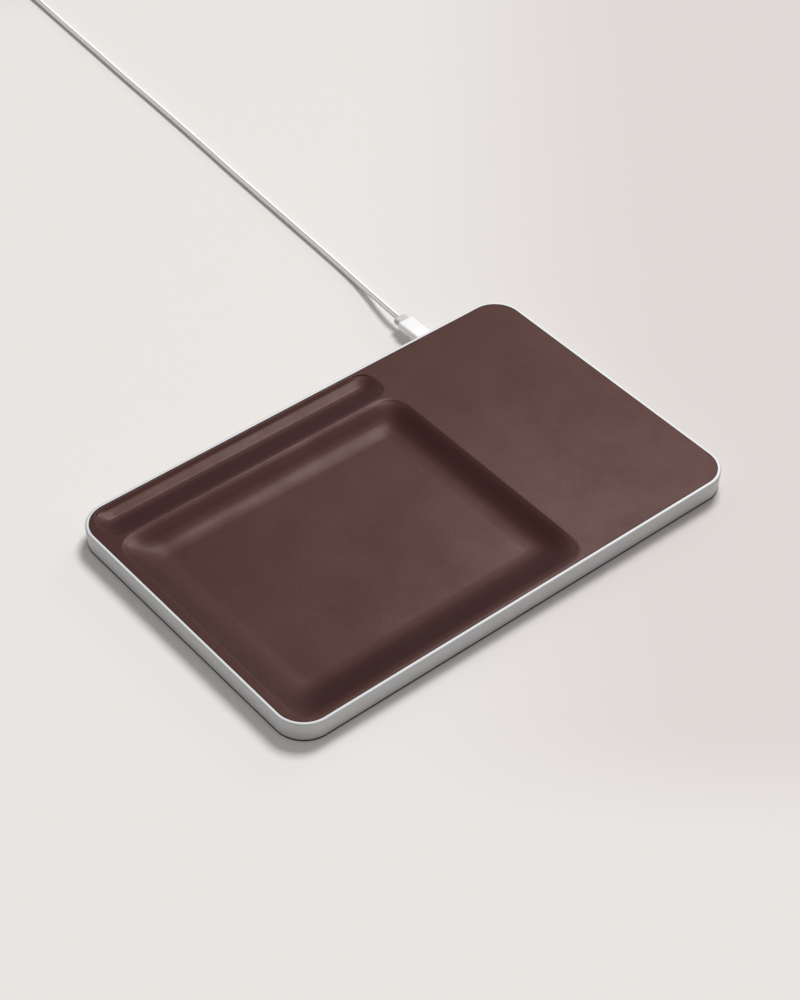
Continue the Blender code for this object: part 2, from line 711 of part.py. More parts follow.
def board_parts(parent, materials):
    for name, (length, width, height) in BOARD_PART_SIZES.items():
        along, across = BOARD_PART_PLACE_SHARES[name]
        half = Vector((length / 2, width / 2))
        edge = Vector((BOARD_PART_EDGE, BOARD_PART_EDGE))
        rings = [
            at_height(rounded_outline(-half, half, BOARD_PART_EDGE, 1), 0),
            at_height(rounded_outline(-half, half, BOARD_PART_EDGE, 1), height - BOARD_PART_EDGE),
            at_height(rounded_outline(edge - half, half - edge, BOARD_PART_EDGE, 1), height),
        ]
        spot = board_centre + Vector((along * BOARD_LENGTH, across * BOARD_WIDTH))
        place(name, loft_mesh(name, rings), materials[name], parent, (spot.x, spot.y, board_top + SEAT_GAP))


def usb_socket(parent, metal, plastic):
    sections = [(socket_half.x, socket_half.y, -SOCKET_LENGTH), (socket_half.x, socket_half.y, 0)]
    spot = (socket_x, socket_mouth_y, socket_height)
    shell = pill_mesh("usb_socket_shell", sections, PLUG_STEPS)
    socket = place("usb_socket_shell", shell, metal, parent, spot)
    sections = [(socket_bore.x, socket_bore.y, y) for y in (-SOCKET_LENGTH - OVERRUN, OVERRUN)]
    cut_or_join(socket, "socket_bore", pill_mesh("socket_bore", sections, PLUG_STEPS), "DIFFERENCE")
    block = socket_bore - Vector((SLIDE_GAP, SLIDE_GAP)) / 2
    block_front = INSULATOR_LENGTH - SOCKET_LENGTH
    sections = [(block.x, block.y, y) for y in (-SOCKET_LENGTH, block_front)]
    insulator = pill_mesh("usb_socket_tongue", sections)
    tongue = place("usb_socket_tongue", insulator, plastic, parent, spot)
    blade_back = block_front - INSULATOR_LENGTH / 2
    blade_front = block_front + TONGUE_LENGTH
    blade_half = (TONGUE_WIDTH / 2, TONGUE_THICKNESS / 2)
    blade = pill_mesh("socket_blade", [(*blade_half, blade_back), (*blade_half, blade_front)], BLADE_STEPS)
    cut_or_join(tongue, "socket_blade", blade, "UNION")


def smooth_points(route, step):
    """Points a step apart, or a little less, along a smooth curve through the route's points."""
    knots = [Vector(point) for point in route]
    knots = [2 * knots[0] - knots[1], *knots, 2 * knots[-1] - knots[-2]]
    points = [knots[1]]
    for a, b, c, d in zip(knots, knots[1:], knots[2:], knots[3:]):
        count = max(1, math.ceil((c - b).length / step))
        for index in range(1, count + 1):
            t = index / count
            even = 2 * b + (c - a) * t + (2 * a - 5 * b + 4 * c - d) * t**2 + (3 * b - a - 3 * c + d) * t**3
            points.append(even / 2)
    return points


def tube(name, points, diameter, sides_level, material, parent):
    """A round tube with filled ends along the points."""
    curve = bpy.data.curves.new(name, "CURVE")
    curve.dimensions = "3D"
    curve.bevel_depth = diameter / 2
    curve.bevel_resolution = sides_level
    curve.use_fill_caps = True
    spline = curve.splines.new("POLY")
    spline.points.add(len(points) - 1)
    for knot, point in zip(spline.points, points):
        knot.co = (*(point - parent.location), 1.0)
    obj = bpy.data.objects.new(name, curve)
    bpy.context.scene.collection.objects.link(obj)
    curve.materials.append(material)
    obj.parent = parent
    return obj


def coil_leads(parent, material):
    """Insulated lead pairs from each charging coil, over the carrier's lip, to the board's front edge."""
    lie = ferrite_top + SEAT_GAP + COIL_LEAD_DIAMETER / 2
    lip_top = carrier_top + CARRIER_LIP_HEIGHT
    over_lip = max(lie, lip_top + SEAT_GAP + COIL_LEAD_DIAMETER / 2)
    board_lie = board_top + SEAT_GAP + COIL_LEAD_DIAMETER / 2
    board_front = board_centre.y - board_half.y
    lip_y = module_centre.y + carrier_half.y
    back_coil_y = module_centre.y + COIL_PITCH
    side = COIL_OUTER_RADIUS + COIL_LEAD_SIDE_GAP
    near = COIL_OUTER_RADIUS + SEAT_GAP
    upper = upper_coil_top - COIL_THICKNESS / 2
    bend = COIL_LEAD_DIAMETER
    for name, x_side, start_y, start_z in (
        ("coil_lead_front", 1, module_centre.y - COIL_PITCH, lie),
        ("coil_lead_middle", -1, module_centre.y, upper),
        ("coil_lead_back", 0, back_coil_y + near, lie),
    ):
        x = module_centre.x + x_side * side
        start_x = module_centre.x + x_side * near
        board_x = board_centre.x + COIL_LEAD_PLACE_SHARES[name] * BOARD_LENGTH
        route = [(start_x, start_y, start_z)]
        if x_side:
            route += [
                (start_x + x_side * bend, start_y + bend, (start_z + lie) / 2),
                (x, start_y + COIL_OUTER_RADIUS / 2, lie),
                (x, back_coil_y, lie),
            ]
        route += [
            (x, lip_y - CARRIER_LIP, over_lip),
            ((x + board_x) / 2, (lip_y + board_front) / 2, over_lip),
            (board_x, board_front, board_lie + SEAT_GAP),
            (board_x, board_front + COIL_LEAD_ON_BOARD, board_lie),
        ]
        tube(name, smooth_points(route, COIL_LEAD_POINT_SPACING), COIL_LEAD_DIAMETER, 1, material, parent)


def plug(prefix, face, parent, metal, body, grey):
    """Shell, body and collar of a plug whose body's face is at face and whose cord runs along its own +Y."""
    shell_half = (PLUG_SHELL_WIDTH / 2, PLUG_SHELL_HEIGHT / 2)
    root = -SEAT_GAP
    mesh = pill_mesh(prefix + "plug_shell", [(*shell_half, root - PLUG_SHELL_LENGTH), (*shell_half, root)])
    shell = place(prefix + "plug_shell", mesh, metal, parent, face)
    inner = (shell_half[0] - PLUG_SHELL_WALL, shell_half[1] - PLUG_SHELL_WALL)
    bore = [(*inner, root - PLUG_SHELL_LENGTH - OVERRUN), (*inner, root - PLUG_SHELL_WALL)]
    cut_or_join(shell, prefix + "plug_shell_bore", pill_mesh("plug_shell_bore", bore), "DIFFERENCE")
    wide, tall = PLUG_WIDTH / 2, PLUG_HEIGHT / 2
    sections = (
        (wide - PLUG_EDGE, tall - PLUG_EDGE, 0),
        (wide, tall, PLUG_EDGE),
        (wide, tall, PLUG_LENGTH - PLUG_EDGE),
        (wide - PLUG_EDGE, tall - PLUG_EDGE, PLUG_LENGTH),
    )
    place(prefix + "plug_body", pill_mesh(prefix + "plug_body", sections, PLUG_STEPS), body, parent, face)
    wide, tall = COLLAR_WIDTH / 2, COLLAR_HEIGHT / 2
    start = PLUG_LENGTH + SEAT_GAP
    sections = (
        (wide, tall, start),
        (wide, tall, start + COLLAR_LENGTH - COLLAR_EDGE),
        (wide - COLLAR_EDGE, tall - COLLAR_EDGE, start + COLLAR_LENGTH),
    )
    sleeve = pill_mesh(prefix + "plug_collar", sections, COLLAR_STEPS)
    place(prefix + "plug_collar", sleeve, grey, parent, face)


def wound_point(turn):
    """Place on the winding after so many turns: in and out at a steady rate, a layer up at each reversal."""
    layer = min(int(turn / WIND_TURNS_PER_LAYER), WIND_LAYERS - 1)
    within = turn - layer * WIND_TURNS_PER_LAYER
    inward = within if layer % 2 == 0 else WIND_TURNS_PER_LAYER - within
    radius = WIND_OUTER_RADIUS - WIND_PITCH * inward
    height = wind_bottom + CORD_DIAMETER / 2
    for reversal in range(1, WIND_LAYERS):
        climb = (turn - reversal * WIND_TURNS_PER_LAYER) * 2 + 1 / 2
        climb = min(1, max(0, climb))
        height += WIND_PITCH * climb * climb * (3 - 2 * climb)
    angle = math.pi - 2 * math.pi * turn
    across = Vector((math.cos(angle), math.sin(angle))) * radius + Vector(WIND_CENTRE)
    return Vector((across.x, across.y, height))


def winding_points():
    """The wound cord, with a straight stretch of one diameter before the first turn and after the last."""
    turns = [index / WIND_POINTS_PER_TURN for index in range(wind_turns * WIND_POINTS_PER_TURN + 1)]
    points = [wound_point(turn) for turn in turns]
    lead = Vector((0, CORD_DIAMETER, 0))
    return [points[0] - lead, *points, points[-1] + lead]


def least_gap(points, diameter):
    """Smallest clear distance between stretches of the tube that are over three diameters apart along it."""
    spacing = (points[2] - points[1]).length
    skip = math.ceil(3 * diameter / spacing)
    pairs = (
        (points[i] - points[j]).length for i in range(len(points)) for j in range(i + skip, len(points))
    )
    return min(pairs) - diameter


def path_length(points):
    return sum((b - a).length for a, b in zip(points, points[1:]))


def cord(parent, material):
    free = smooth_points(CORD_ROUTE, CORD_POINT_SPACING)
    wound = winding_points()
    tail = smooth_points(TAIL_ROUTE, CORD_POINT_SPACING)
    tube("cord", free, CORD_DIAMETER, 2, material, parent)
    tube("cord_coil", wound, CORD_DIAMETER, 1, material, parent)
    tube("cord_tail", tail, CORD_DIAMETER, 2, material, parent)
    length = path_length(free) + path_length(wound) + path_length(tail)
    gap = least_gap(wound, CORD_DIAMETER)
    print(f"cord length {length:.4f} m, least gap in the winding {gap / MM:.2f} mm")
    print(f"cord points {len(free)} + {len(tail)}, winding points {len(wound)}")


def cord_ties(parent, material):
    """Straps round the bundle of turns, which lies on them."""
    inner_turn = WIND_OUTER_RADIUS - WIND_PITCH * WIND_TURNS_PER_LAYER - CORD_DIAMETER / 2
    near = math.sqrt(inner_turn**2 - (TIE_WIDTH / 2) ** 2) - SEAT_GAP
    far = WIND_OUTER_RADIUS + CORD_DIAMETER / 2 + SEAT_GAP
    bottom = wind_bottom - SEAT_GAP
    top = wind_bottom + CORD_DIAMETER + WIND_PITCH * (WIND_LAYERS - 1) + SEAT_GAP
    wall = Vector((TIE_THICKNESS, TIE_THICKNESS))
    low, high = Vector((near, bottom)), Vector((far, top))
    outer = rounded_outline(low - wall, high + wall, TIE_CORNER, TIE_CORNER_STEPS)
    inner = rounded_outline(low, high, TIE_CORNER - TIE_THICKNESS, TIE_CORNER_STEPS)
    half = TIE_WIDTH / 2
    for index, degrees in enumerate(TIE_ANGLES, 1):
        rings = [
            [Vector((point.x, side, point.y)) for point in outline]
            for outline, side in ((outer, -half), (outer, half), (inner, half), (inner, -half))
        ]
        name = f"cord_tie_{index}"
        tie = place(name, ring_mesh(name, rings), material, parent, (*WIND_CENTRE, 0))
        tie.rotation_euler.z = math.radians(degrees)


def build():
    clear_scene()
    leather = make_material("brown_leather", (0.116, 0.057, 0.052), 0.55)
    aluminium = make_material("satin_aluminium", (0.62, 0.62, 0.62), 0.35, 1.0)
    black_plastic = make_material("black_plastic", (0.03, 0.03, 0.032), 0.5)
    grey_rubber = make_material("grey_silicone", (0.16, 0.16, 0.16), 0.8)
    steel = make_material("steel", (0.55, 0.55, 0.56), 0.35, 1.0)
    copper = make_material("enamelled_copper", (0.55, 0.24, 0.12), 0.35, 1.0)
    ferrite = make_material("ferrite", (0.05, 0.05, 0.055), 0.6)
    green_board = make_material("board_green", (0.03, 0.16, 0.08), 0.4)
    chip_black = make_material("chip_black", (0.02, 0.02, 0.02), 0.4)
    capacitor_brown = make_material("capacitor_tan", (0.45, 0.3, 0.16), 0.5)
    wire_red = make_material("wire_red", (0.4, 0.04, 0.03), 0.5)
    plug_white = make_material("plug_white", (0.86, 0.86, 0.85), 0.3)
    collar_grey = make_material("collar_grey", (0.55, 0.55, 0.55), 0.4)
    cord_white = make_material("braid_white", (0.8, 0.8, 0.79), 0.8)
    tie_grey = make_material("tie_grey", (0.35, 0.35, 0.35), 0.85)

    tray = make_empty("tray_axis", (0, 0, 0))
    lead = make_empty("lead_axis", (socket_x, plug_face_y, socket_height))

    housing_frame(tray, aluminium)
    leather_top(tray, leather)
    top_former(tray, black_plastic)
    base_plate(tray, steel)
    base_pad(tray, grey_rubber)
    ballast_plate(tray, steel)
    base_screws(tray, steel)
    charging_coils(tray, copper)
    module_sheet("ferrite_sheet", ferrite_top, FERRITE_THICKNESS, tray, ferrite)
    module_sheet("heat_spreader", spreader_top, SPREADER_THICKNESS, tray, aluminium)
    coil_carrier(tray, black_plastic)
    carrier_screws(tray, steel)
    main_board(tray, green_board)
    board_parts(
        tray,
        {
            "controller_chip": chip_black,
            "driver_chip": chip_black,
            "power_inductor": ferrite,
            "resonance_capacitor_left": capacitor_brown,
            "resonance_capacitor_right": capacitor_brown,
        },
    )
    board_screws(tray, steel)
    usb_socket(tray, steel, black_plastic)
    coil_leads(tray, wire_red)

    plug("", (socket_x, plug_face_y, socket_height), lead, steel, plug_white, collar_grey)
    cord(lead, cord_white)
    cord_ties(lead, tie_grey)
    far_end = Vector(TAIL_ROUTE[-1])
    far_face = far_end - Vector((0, SEAT_GAP + COLLAR_LENGTH + SEAT_GAP + PLUG_LENGTH, 0))
    plug("far_", far_face, lead, steel, plug_white, collar_grey)


build()
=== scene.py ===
import json
import math
import bmesh
import bpy
from mathutils import Matrix, Vector


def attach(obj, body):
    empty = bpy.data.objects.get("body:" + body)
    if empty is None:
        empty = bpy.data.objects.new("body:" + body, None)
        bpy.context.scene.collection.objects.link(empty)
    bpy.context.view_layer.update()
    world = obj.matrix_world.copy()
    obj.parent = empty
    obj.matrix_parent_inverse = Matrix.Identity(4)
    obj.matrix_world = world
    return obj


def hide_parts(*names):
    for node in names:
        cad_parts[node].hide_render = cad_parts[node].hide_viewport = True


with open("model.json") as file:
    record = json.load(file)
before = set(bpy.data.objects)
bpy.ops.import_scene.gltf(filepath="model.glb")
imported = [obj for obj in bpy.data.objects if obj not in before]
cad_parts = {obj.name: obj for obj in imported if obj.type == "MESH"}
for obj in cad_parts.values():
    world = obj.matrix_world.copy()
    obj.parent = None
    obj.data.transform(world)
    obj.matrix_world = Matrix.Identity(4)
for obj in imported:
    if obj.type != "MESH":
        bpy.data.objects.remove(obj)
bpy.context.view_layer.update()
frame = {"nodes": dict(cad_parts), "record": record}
mm = 0.001
seatGap = 0.3 * mm  # between pieces that touch
seamGap = 0.0001 * mm  # points this near to each other are one, in a mesh
weldGap = 0.002 * mm  # and in a shape tree
scene = bpy.context.scene
print("frame loaded:", len(frame["nodes"]), "nodes")


# Node trees, for shapes and for materials

def addNode(tree, kind, feeds=None, **settings):
    # feeds: an input's name or number, with its value or with the output that feeds it
    node = tree.nodes.new(kind)
    for name, value in settings.items():
        setattr(node, name, value)
    for key, source in (feeds or {}).items():
        if isinstance(source, bpy.types.NodeSocket):
            tree.links.new(source, node.inputs[key])
        else:
            node.inputs[key].default_value = source
    return node


def usedOutput(node):
    # the output that the node's own settings leave in use
    return next(socket for socket in node.outputs if socket.enabled)


def calc(tree, operation, *values):
    return addNode(tree, "ShaderNodeMath", dict(enumerate(values)), operation=operation).outputs[0]


def vectorCalc(tree, operation, *values):
    return usedOutput(addNode(tree, "ShaderNodeVectorMath", dict(enumerate(values)), operation=operation))


def parts(tree, vector):
    return addNode(tree, "ShaderNodeSeparateXYZ", {0: vector}).outputs


def newTree(name, kind, inputs, outputs):
    # inputs and outputs: each socket's name and type
    tree = bpy.data.node_groups.new(name, kind + "NodeTree")
    for way, sockets in (("INPUT", inputs), ("OUTPUT", outputs)):
        for label, socketType in sockets.items():
            tree.interface.new_socket(label, in_out=way, socket_type="NodeSocket" + socketType)
    return tree, tree.nodes.new("NodeGroupInput").outputs, tree.nodes.new("NodeGroupOutput").inputs


def useTree(tree, group, feeds):
    return addNode(tree, tree.bl_idname.replace("Tree", "Group"), feeds, node_tree=group).outputs


# Objects and meshes

def addObject(name, data):
    thing = bpy.data.objects.new(name, data)
    scene.collection.objects.link(thing)
    return thing


def plainMesh(carrier, name):
    # the carrier's shape after its modifiers, as a mesh of its own
    mesh = bpy.data.meshes.new_from_object(carrier.evaluated_get(bpy.context.evaluated_depsgraph_get()))
    bpy.data.objects.remove(carrier)
    mesh.name = name
    return mesh


def shapeMesh(tree, startMesh, values, name):
    carrier = addObject(name + ".carrier", startMesh)
    modifier = carrier.modifiers.new("shape", "NODES")
    modifier.node_group = tree
    for item in tree.interface.items_tree:
        if item.item_type == "SOCKET" and item.in_out == "INPUT" and item.name in values:
            modifier[item.identifier] = values[item.name]
    return plainMesh(carrier, name)


def addPiece(name, mesh, slot, body, *nodes):
    # a finished piece at the origin, on its body, in place of the CAD nodes that it stands for
    piece = addObject(name, mesh)
    mesh.materials.clear()
    mesh.materials.append(finishes[slot])
    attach(piece, body)
    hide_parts(*nodes)
    return piece


def cleanMesh(bm, name, sharpDegrees=38):
    # closed seams, faces outwards, and smooth but for the sharp edges
    bmesh.ops.remove_doubles(bm, verts=bm.verts, dist=seamGap)
    bmesh.ops.recalc_face_normals(bm, faces=bm.faces)
    mesh = bpy.data.meshes.new(name)
    bm.to_mesh(mesh)
    bm.free()
    mesh.shade_smooth()
    mesh.set_sharp_from_angle(angle=math.radians(sharpDegrees))
    return mesh


def cleanCopy(mesh, name, sharpDegrees=38):
    bm = bmesh.new()
    bm.from_mesh(mesh)
    return cleanMesh(bm, name, sharpDegrees)


# Camera

cameraSet = {
    "place": (-0.55211, -0.63948, 0.81769),
    "target": (-0.005715, -0.000843, 0.0116),
    "rollDegrees": 1.1316,
    "lens": 86.13,
    "sensor": 36.0,
    "nearClip": 0.01,
}


def addCamera(s):
    camera = addObject("camera", bpy.data.cameras.new("camera"))
    forward = (Vector(s["target"]) - Vector(s["place"])).normalized()
    right = forward.cross(Vector((0, 0, 1))).normalized()
    up = right.cross(forward)
    turn = Matrix((right, up, -forward)).transposed().to_4x4()
    camera.matrix_world = (
        Matrix.Translation(s["place"]) @ turn @ Matrix.Rotation(math.radians(s["rollDegrees"]), 4, "Z")
    )
    camera.data.lens = s["lens"]
    camera.data.sensor_width = s["sensor"]
    camera.data.clip_start = s["nearClip"]
    scene.camera = camera


addCamera(cameraSet)
print("camera placed")


# Effects that several materials share

def softNoise():
    # slow or fine variation of a surface, round 0.5
    inputs = {"Place": "Vector", "Size": "Float", "Detail": "Float", "Lift": "Float"}
    tree, given, out = newTree("softNoise", "Shader", inputs, {"Mask": "Float"})
    scale = calc(tree, "DIVIDE", 1.0, given["Size"])
    feeds = {"Vector": given["Place"], "Scale": scale, "Detail": given["Detail"], "Roughness": 0.55}
    noise = addNode(tree, "ShaderNodeTexNoise", feeds)
    swing = calc(tree, "MULTIPLY", calc(tree, "SUBTRACT", noise.outputs["Fac"], 0.5), given["Lift"])
    tree.links.new(calc(tree, "ADD", swing, 0.5), out["Mask"])
    return tree


def hideGrain():
    # pebbles of a fine hide with softer creases between them
    inputs = {"Place": "Vector", "Pebble": "Float", "Crease": "Float"}
    tree, given, out = newTree("hideGrain", "Shader", inputs, {"Height": "Float"})
    scale = calc(tree, "DIVIDE", 1.0, given["Pebble"])
    feeds = {"Vector": given["Place"], "Scale": scale}
    fine = addNode(tree, "ShaderNodeTexNoise", feeds | {"Detail": 2.0})
    cells = addNode(tree, "ShaderNodeTexVoronoi", feeds | {"Randomness": 1.0}, feature="DISTANCE_TO_EDGE")
    feeds = {"Value": cells.outputs["Distance"], "From Max": given["Crease"]}
    pebbles = addNode(tree, "ShaderNodeMapRange", feeds, interpolation_type="SMOOTHERSTEP")
    roughened = calc(tree, "MULTIPLY", fine.outputs["Fac"], 0.6)
    tree.links.new(calc(tree, "ADD", pebbles.outputs["Result"], roughened), out["Height"])
    return tree


def wovenSleeve():
    # two sets of slanting strands that pass over and under each other, on a piece's own UV map
    inputs = {"Along": "Float", "Around": "Float", "Strands": "Float", "Pitch": "Float"}
    tree, given, out = newTree("wovenSleeve", "Shader", inputs, {"Height": "Float", "Over": "Float"})
    steps = calc(tree, "DIVIDE", given["Along"], given["Pitch"])
    turns = calc(tree, "MULTIPLY", given["Around"], given["Strands"])
    right = calc(tree, "ADD", steps, turns)
    left = calc(tree, "SUBTRACT", steps, turns)
    ridges = []
    for slant in (right, left):
        wave = calc(tree, "SINE", calc(tree, "MULTIPLY", slant, math.pi))
        ridges.append(calc(tree, "ABSOLUTE", wave))
    cells = calc(tree, "ADD", calc(tree, "FLOOR", right), calc(tree, "FLOOR", left))
    over = calc(tree, "FLOORED_MODULO", cells, 2.0)
    pick = addNode(tree, "ShaderNodeMix", {"Factor": over, "A": ridges[0], "B": ridges[1]}, data_type="FLOAT")
    tree.links.new(usedOutput(pick), out["Height"])
    tree.links.new(over, out["Over"])
    return tree


effects = {"softNoise": softNoise(), "hideGrain": hideGrain(), "wovenSleeve": wovenSleeve()}
print("effects made:", len(effects))


# Finishes, one for each material slot of the record

def newMaterial(name, colour, roughness, **sockets):
    # plain values go on the shader's own sockets
    material = bpy.data.materials.new(name)
    material.use_nodes = True
    tree = material.node_tree
    shader = tree.nodes["Principled BSDF"]
    shader.inputs["Base Color"].default_value = (*colour, 1.0)
    shader.inputs["Roughness"].default_value = roughness
    for key, value in sockets.items():
        shader.inputs[key].default_value = value
    place = addNode(tree, "ShaderNodeTexCoord").outputs["Object"]
    return material, tree, shader, place


def mixColours(tree, mask, dark, light):
    feeds = {"Factor": mask, "A": (*dark, 1.0), "B": (*light, 1.0)}
    return usedOutput(addNode(tree, "ShaderNodeMix", feeds, data_type="RGBA"))


def spread(tree, mask, low, high):
    return addNode(tree, "ShaderNodeMapRange", {"Value": mask, "To Min": low, "To Max": high}).outputs["Result"]


def bumpFrom(tree, shader, height, distance, strength=1.0):
    bump = addNode(tree, "ShaderNodeBump", {"Height": height, "Distance": distance, "Strength": strength})
    tree.links.new(bump.outputs["Normal"], shader.inputs["Normal"])


def noiseMask(tree, place, size, detail, lift):
    feeds = {"Place": place, "Size": size, "Detail": detail, "Lift": lift}
    return useTree(tree, effects["softNoise"], feeds)["Mask"]


leatherLook = {
    "tone": (0.018, 0.0053, 0.0048),
    "dark": (0.015, 0.0043, 0.0038),
    "light": (0.021, 0.0063, 0.0057),
    "roughness": 0.52,
    "roughnessSpan": (0.57, 0.47),
    "sockets": {
        "Specular IOR Level": 0.385,
        "Specular Tint": (1.0, 0.43, 0.36, 1.0),  # the hide's own colour, in its wide sheen
        "Coat Weight": 0.065,  # thin shine of the dressing on top
        "Coat Roughness": 0.22,
    },
    "coatSpan": (0.035, 0.095),
    "clouds": (22.0 * mm, 4.0, 1.6),  # size, detail and lift, here and below
    "flecks": (1.1 * mm, 3.0, 1.8),
    "fleckShare": 0.35,
    "pebbleSize": 0.7 * mm,
    "crease": 0.22,
    "grainDepth": 0.03 * mm,
    "grainStrength": 0.6,
}


def leatherMaterial(s):
    material, tree, shader, place = newMaterial("brownLeather", s["tone"], s["roughness"], **s["sockets"])
    clouds, flecks = noiseMask(tree, place, *s["clouds"]), noiseMask(tree, place, *s["flecks"])
    feeds = {"Place": place, "Pebble": s["pebbleSize"], "Crease": s["crease"]}
    grain = useTree(tree, effects["hideGrain"], feeds)["Height"]
    feeds = {"Factor": s["fleckShare"], "A": clouds, "B": flecks}
    tone = usedOutput(addNode(tree, "ShaderNodeMix", feeds, data_type="FLOAT"))
    tree.links.new(mixColours(tree, tone, s["dark"], s["light"]), shader.inputs["Base Color"])
    tree.links.new(spread(tree, tone, *s["roughnessSpan"]), shader.inputs["Roughness"])
    tree.links.new(spread(tree, clouds, *s["coatSpan"]), shader.inputs["Coat Weight"])
    bumpFrom(tree, shader, grain, s["grainDepth"], s["grainStrength"])
    return material


metalLook = {
    "tone": (0.67, 0.675, 0.68),
    "dark": (0.64, 0.645, 0.65),
    "light": (0.69, 0.695, 0.7),
    "roughness": 0.76,
    "roughnessSpan": (0.72, 0.8),
    "clouds": (14.0 * mm, 3.0, 1.2),
    "tooth": (0.22 * mm, 2.0, 1.5),
    "toothDepth": 0.004 * mm,
}


def metalMaterial(s):
    material, tree, shader, place = newMaterial("satinAluminium", s["tone"], s["roughness"], Metallic=1.0)
    tooth, clouds = noiseMask(tree, place, *s["tooth"]), noiseMask(tree, place, *s["clouds"])
    tree.links.new(mixColours(tree, clouds, s["dark"], s["light"]), shader.inputs["Base Color"])
    tree.links.new(spread(tree, clouds, *s["roughnessSpan"]), shader.inputs["Roughness"])
    bumpFrom(tree, shader, tooth, s["toothDepth"])
    return material


mouldedSet = {
    "clouds": (6.0 * mm, 3.0, 1.4),
    "toothDetail": (2.0, 1.5),
    "roughnessSwing": 0.03,
}
mouldedLooks = {  # name, dark tone, light tone and roughness; size and depth of the tooth; metal or not
    "black_plastic": ("blackPlastic", (0.024, 0.024, 0.026), (0.034, 0.034, 0.036), 0.5),
    "steel": ("platedSteel", (0.5, 0.5, 0.51), (0.58, 0.58, 0.59), 0.34, 0.2 * mm, 0.003 * mm, 1.0),
    "grey_silicone": ("greySilicone", (0.028, 0.028, 0.028), (0.04, 0.04, 0.04), 0.75, 0.6 * mm, 0.02 * mm),
    "ferrite": ("pressedFerrite", (0.042, 0.042, 0.045), (0.058, 0.057, 0.06), 0.55, 0.4 * mm, 0.02 * mm),
    "board_green": ("boardGreen", (0.022, 0.13, 0.065), (0.03, 0.17, 0.085), 0.32),
    "chip_black": ("chipBlack", (0.016, 0.016, 0.017), (0.024, 0.024, 0.025), 0.42),
    "capacitor_tan": ("capacitorTan", (0.4, 0.26, 0.13), (0.48, 0.32, 0.17), 0.38),
    "wire_red": ("wireRed", (0.34, 0.035, 0.025), (0.42, 0.045, 0.032), 0.42),
    "plug_white": ("plugWhite", (0.88, 0.88, 0.875), (0.9, 0.9, 0.895), 0.28, 0.2 * mm, 0.002 * mm),
    "collar_grey": ("collarGrey", (0.5, 0.5, 0.5), (0.56, 0.56, 0.56), 0.45),
    "tie_grey": ("tieGrey", (0.28, 0.28, 0.285), (0.36, 0.36, 0.365), 0.9, 0.5 * mm, 0.12 * mm),
}


def mouldedMaterial(s, name, dark, light, roughness, toothSize=0.3 * mm, toothDepth=0.008 * mm, metallic=0.0):
    # moulded plastic, rubber, plate or a pressed block: a slow change of tone and a fine tooth
    material, tree, shader, place = newMaterial(name, light, roughness, Metallic=metallic)
    clouds, tooth = noiseMask(tree, place, *s["clouds"]), noiseMask(tree, place, toothSize, *s["toothDetail"])
    tree.links.new(mixColours(tree, clouds, dark, light), shader.inputs["Base Color"])
    low, high = roughness - s["roughnessSwing"], roughness + s["roughnessSwing"]
    tree.links.new(spread(tree, clouds, low, high), shader.inputs["Roughness"])
    bumpFrom(tree, shader, tooth, toothDepth)
    return material


braidLook = {
    "yarn": (0.92, 0.92, 0.915),
    "tracer": (0.2, 0.2, 0.2),
    "roughness": 0.75,
    "strands": 8.0,
    "pitch": 1.1 * mm,
    "tracers": 4.0,
    "tracerStart": 0.3,  # of the way between two tracers
    "tracerHalfWidth": 0.13,
    "depth": 0.07 * mm,
}


def braidMaterial(s):
    # white braid with dark tracer yarns that show at each second crossing
    material, tree, shader, _ = newMaterial("whiteBraid", s["yarn"], s["roughness"])
    uv = parts(tree, addNode(tree, "ShaderNodeTexCoord").outputs["UV"])
    feeds = {"Along": uv[0], "Around": uv[1], "Strands": s["strands"], "Pitch": s["pitch"]}
    weave = useTree(tree, effects["wovenSleeve"], feeds)
    between = calc(tree, "ADD", calc(tree, "MULTIPLY", uv[1], s["tracers"]), s["tracerStart"])
    away = calc(tree, "ABSOLUTE", calc(tree, "SUBTRACT", calc(tree, "FRACT", between), 0.5))
    near = calc(tree, "LESS_THAN", away, s["tracerHalfWidth"])
    tracer = calc(tree, "MULTIPLY", near, weave["Over"])
    tree.links.new(mixColours(tree, tracer, s["yarn"], s["tracer"]), shader.inputs["Base Color"])
    bumpFrom(tree, shader, weave["Height"], s["depth"])
    return material


windingLook = {
    "tone": (0.58, 0.24, 0.11),
    "dark": (0.5, 0.19, 0.08),
    "light": (0.64, 0.28, 0.14),
    "roughness": 0.32,
    "clouds": (1.2 * mm, 2.0, 1.5),
    "wire": 0.6 * mm,
    "wireDepth": 0.1 * mm,
    "middles": {  # of each coil, across the tray
        "charging_coil_front": ("frontWinding", (88.65 * mm, -32.0 * mm, 0)),
        "charging_coil_middle": ("middleWinding", (88.65 * mm, -4.0 * mm, 0)),
        "charging_coil_back": ("backWinding", (88.65 * mm, 24.0 * mm, 0)),
    },
}


def windingMaterial(s, name, middle):
    # enamelled wire: rings round the coil's own middle
    material, tree, shader, place = newMaterial(name, s["tone"], s["roughness"], Metallic=1.0)
    flat = vectorCalc(tree, "MULTIPLY", vectorCalc(tree, "SUBTRACT", place, middle), (1, 1, 0))
    away = vectorCalc(tree, "LENGTH", flat)
    tone = noiseMask(tree, place, *s["clouds"])
    tree.links.new(mixColours(tree, tone, s["dark"], s["light"]), shader.inputs["Base Color"])
    wires = calc(tree, "ABSOLUTE", calc(tree, "SINE", calc(tree, "MULTIPLY", away, math.pi / s["wire"])))
    bumpFrom(tree, shader, wires, s["wireDepth"])
    return material


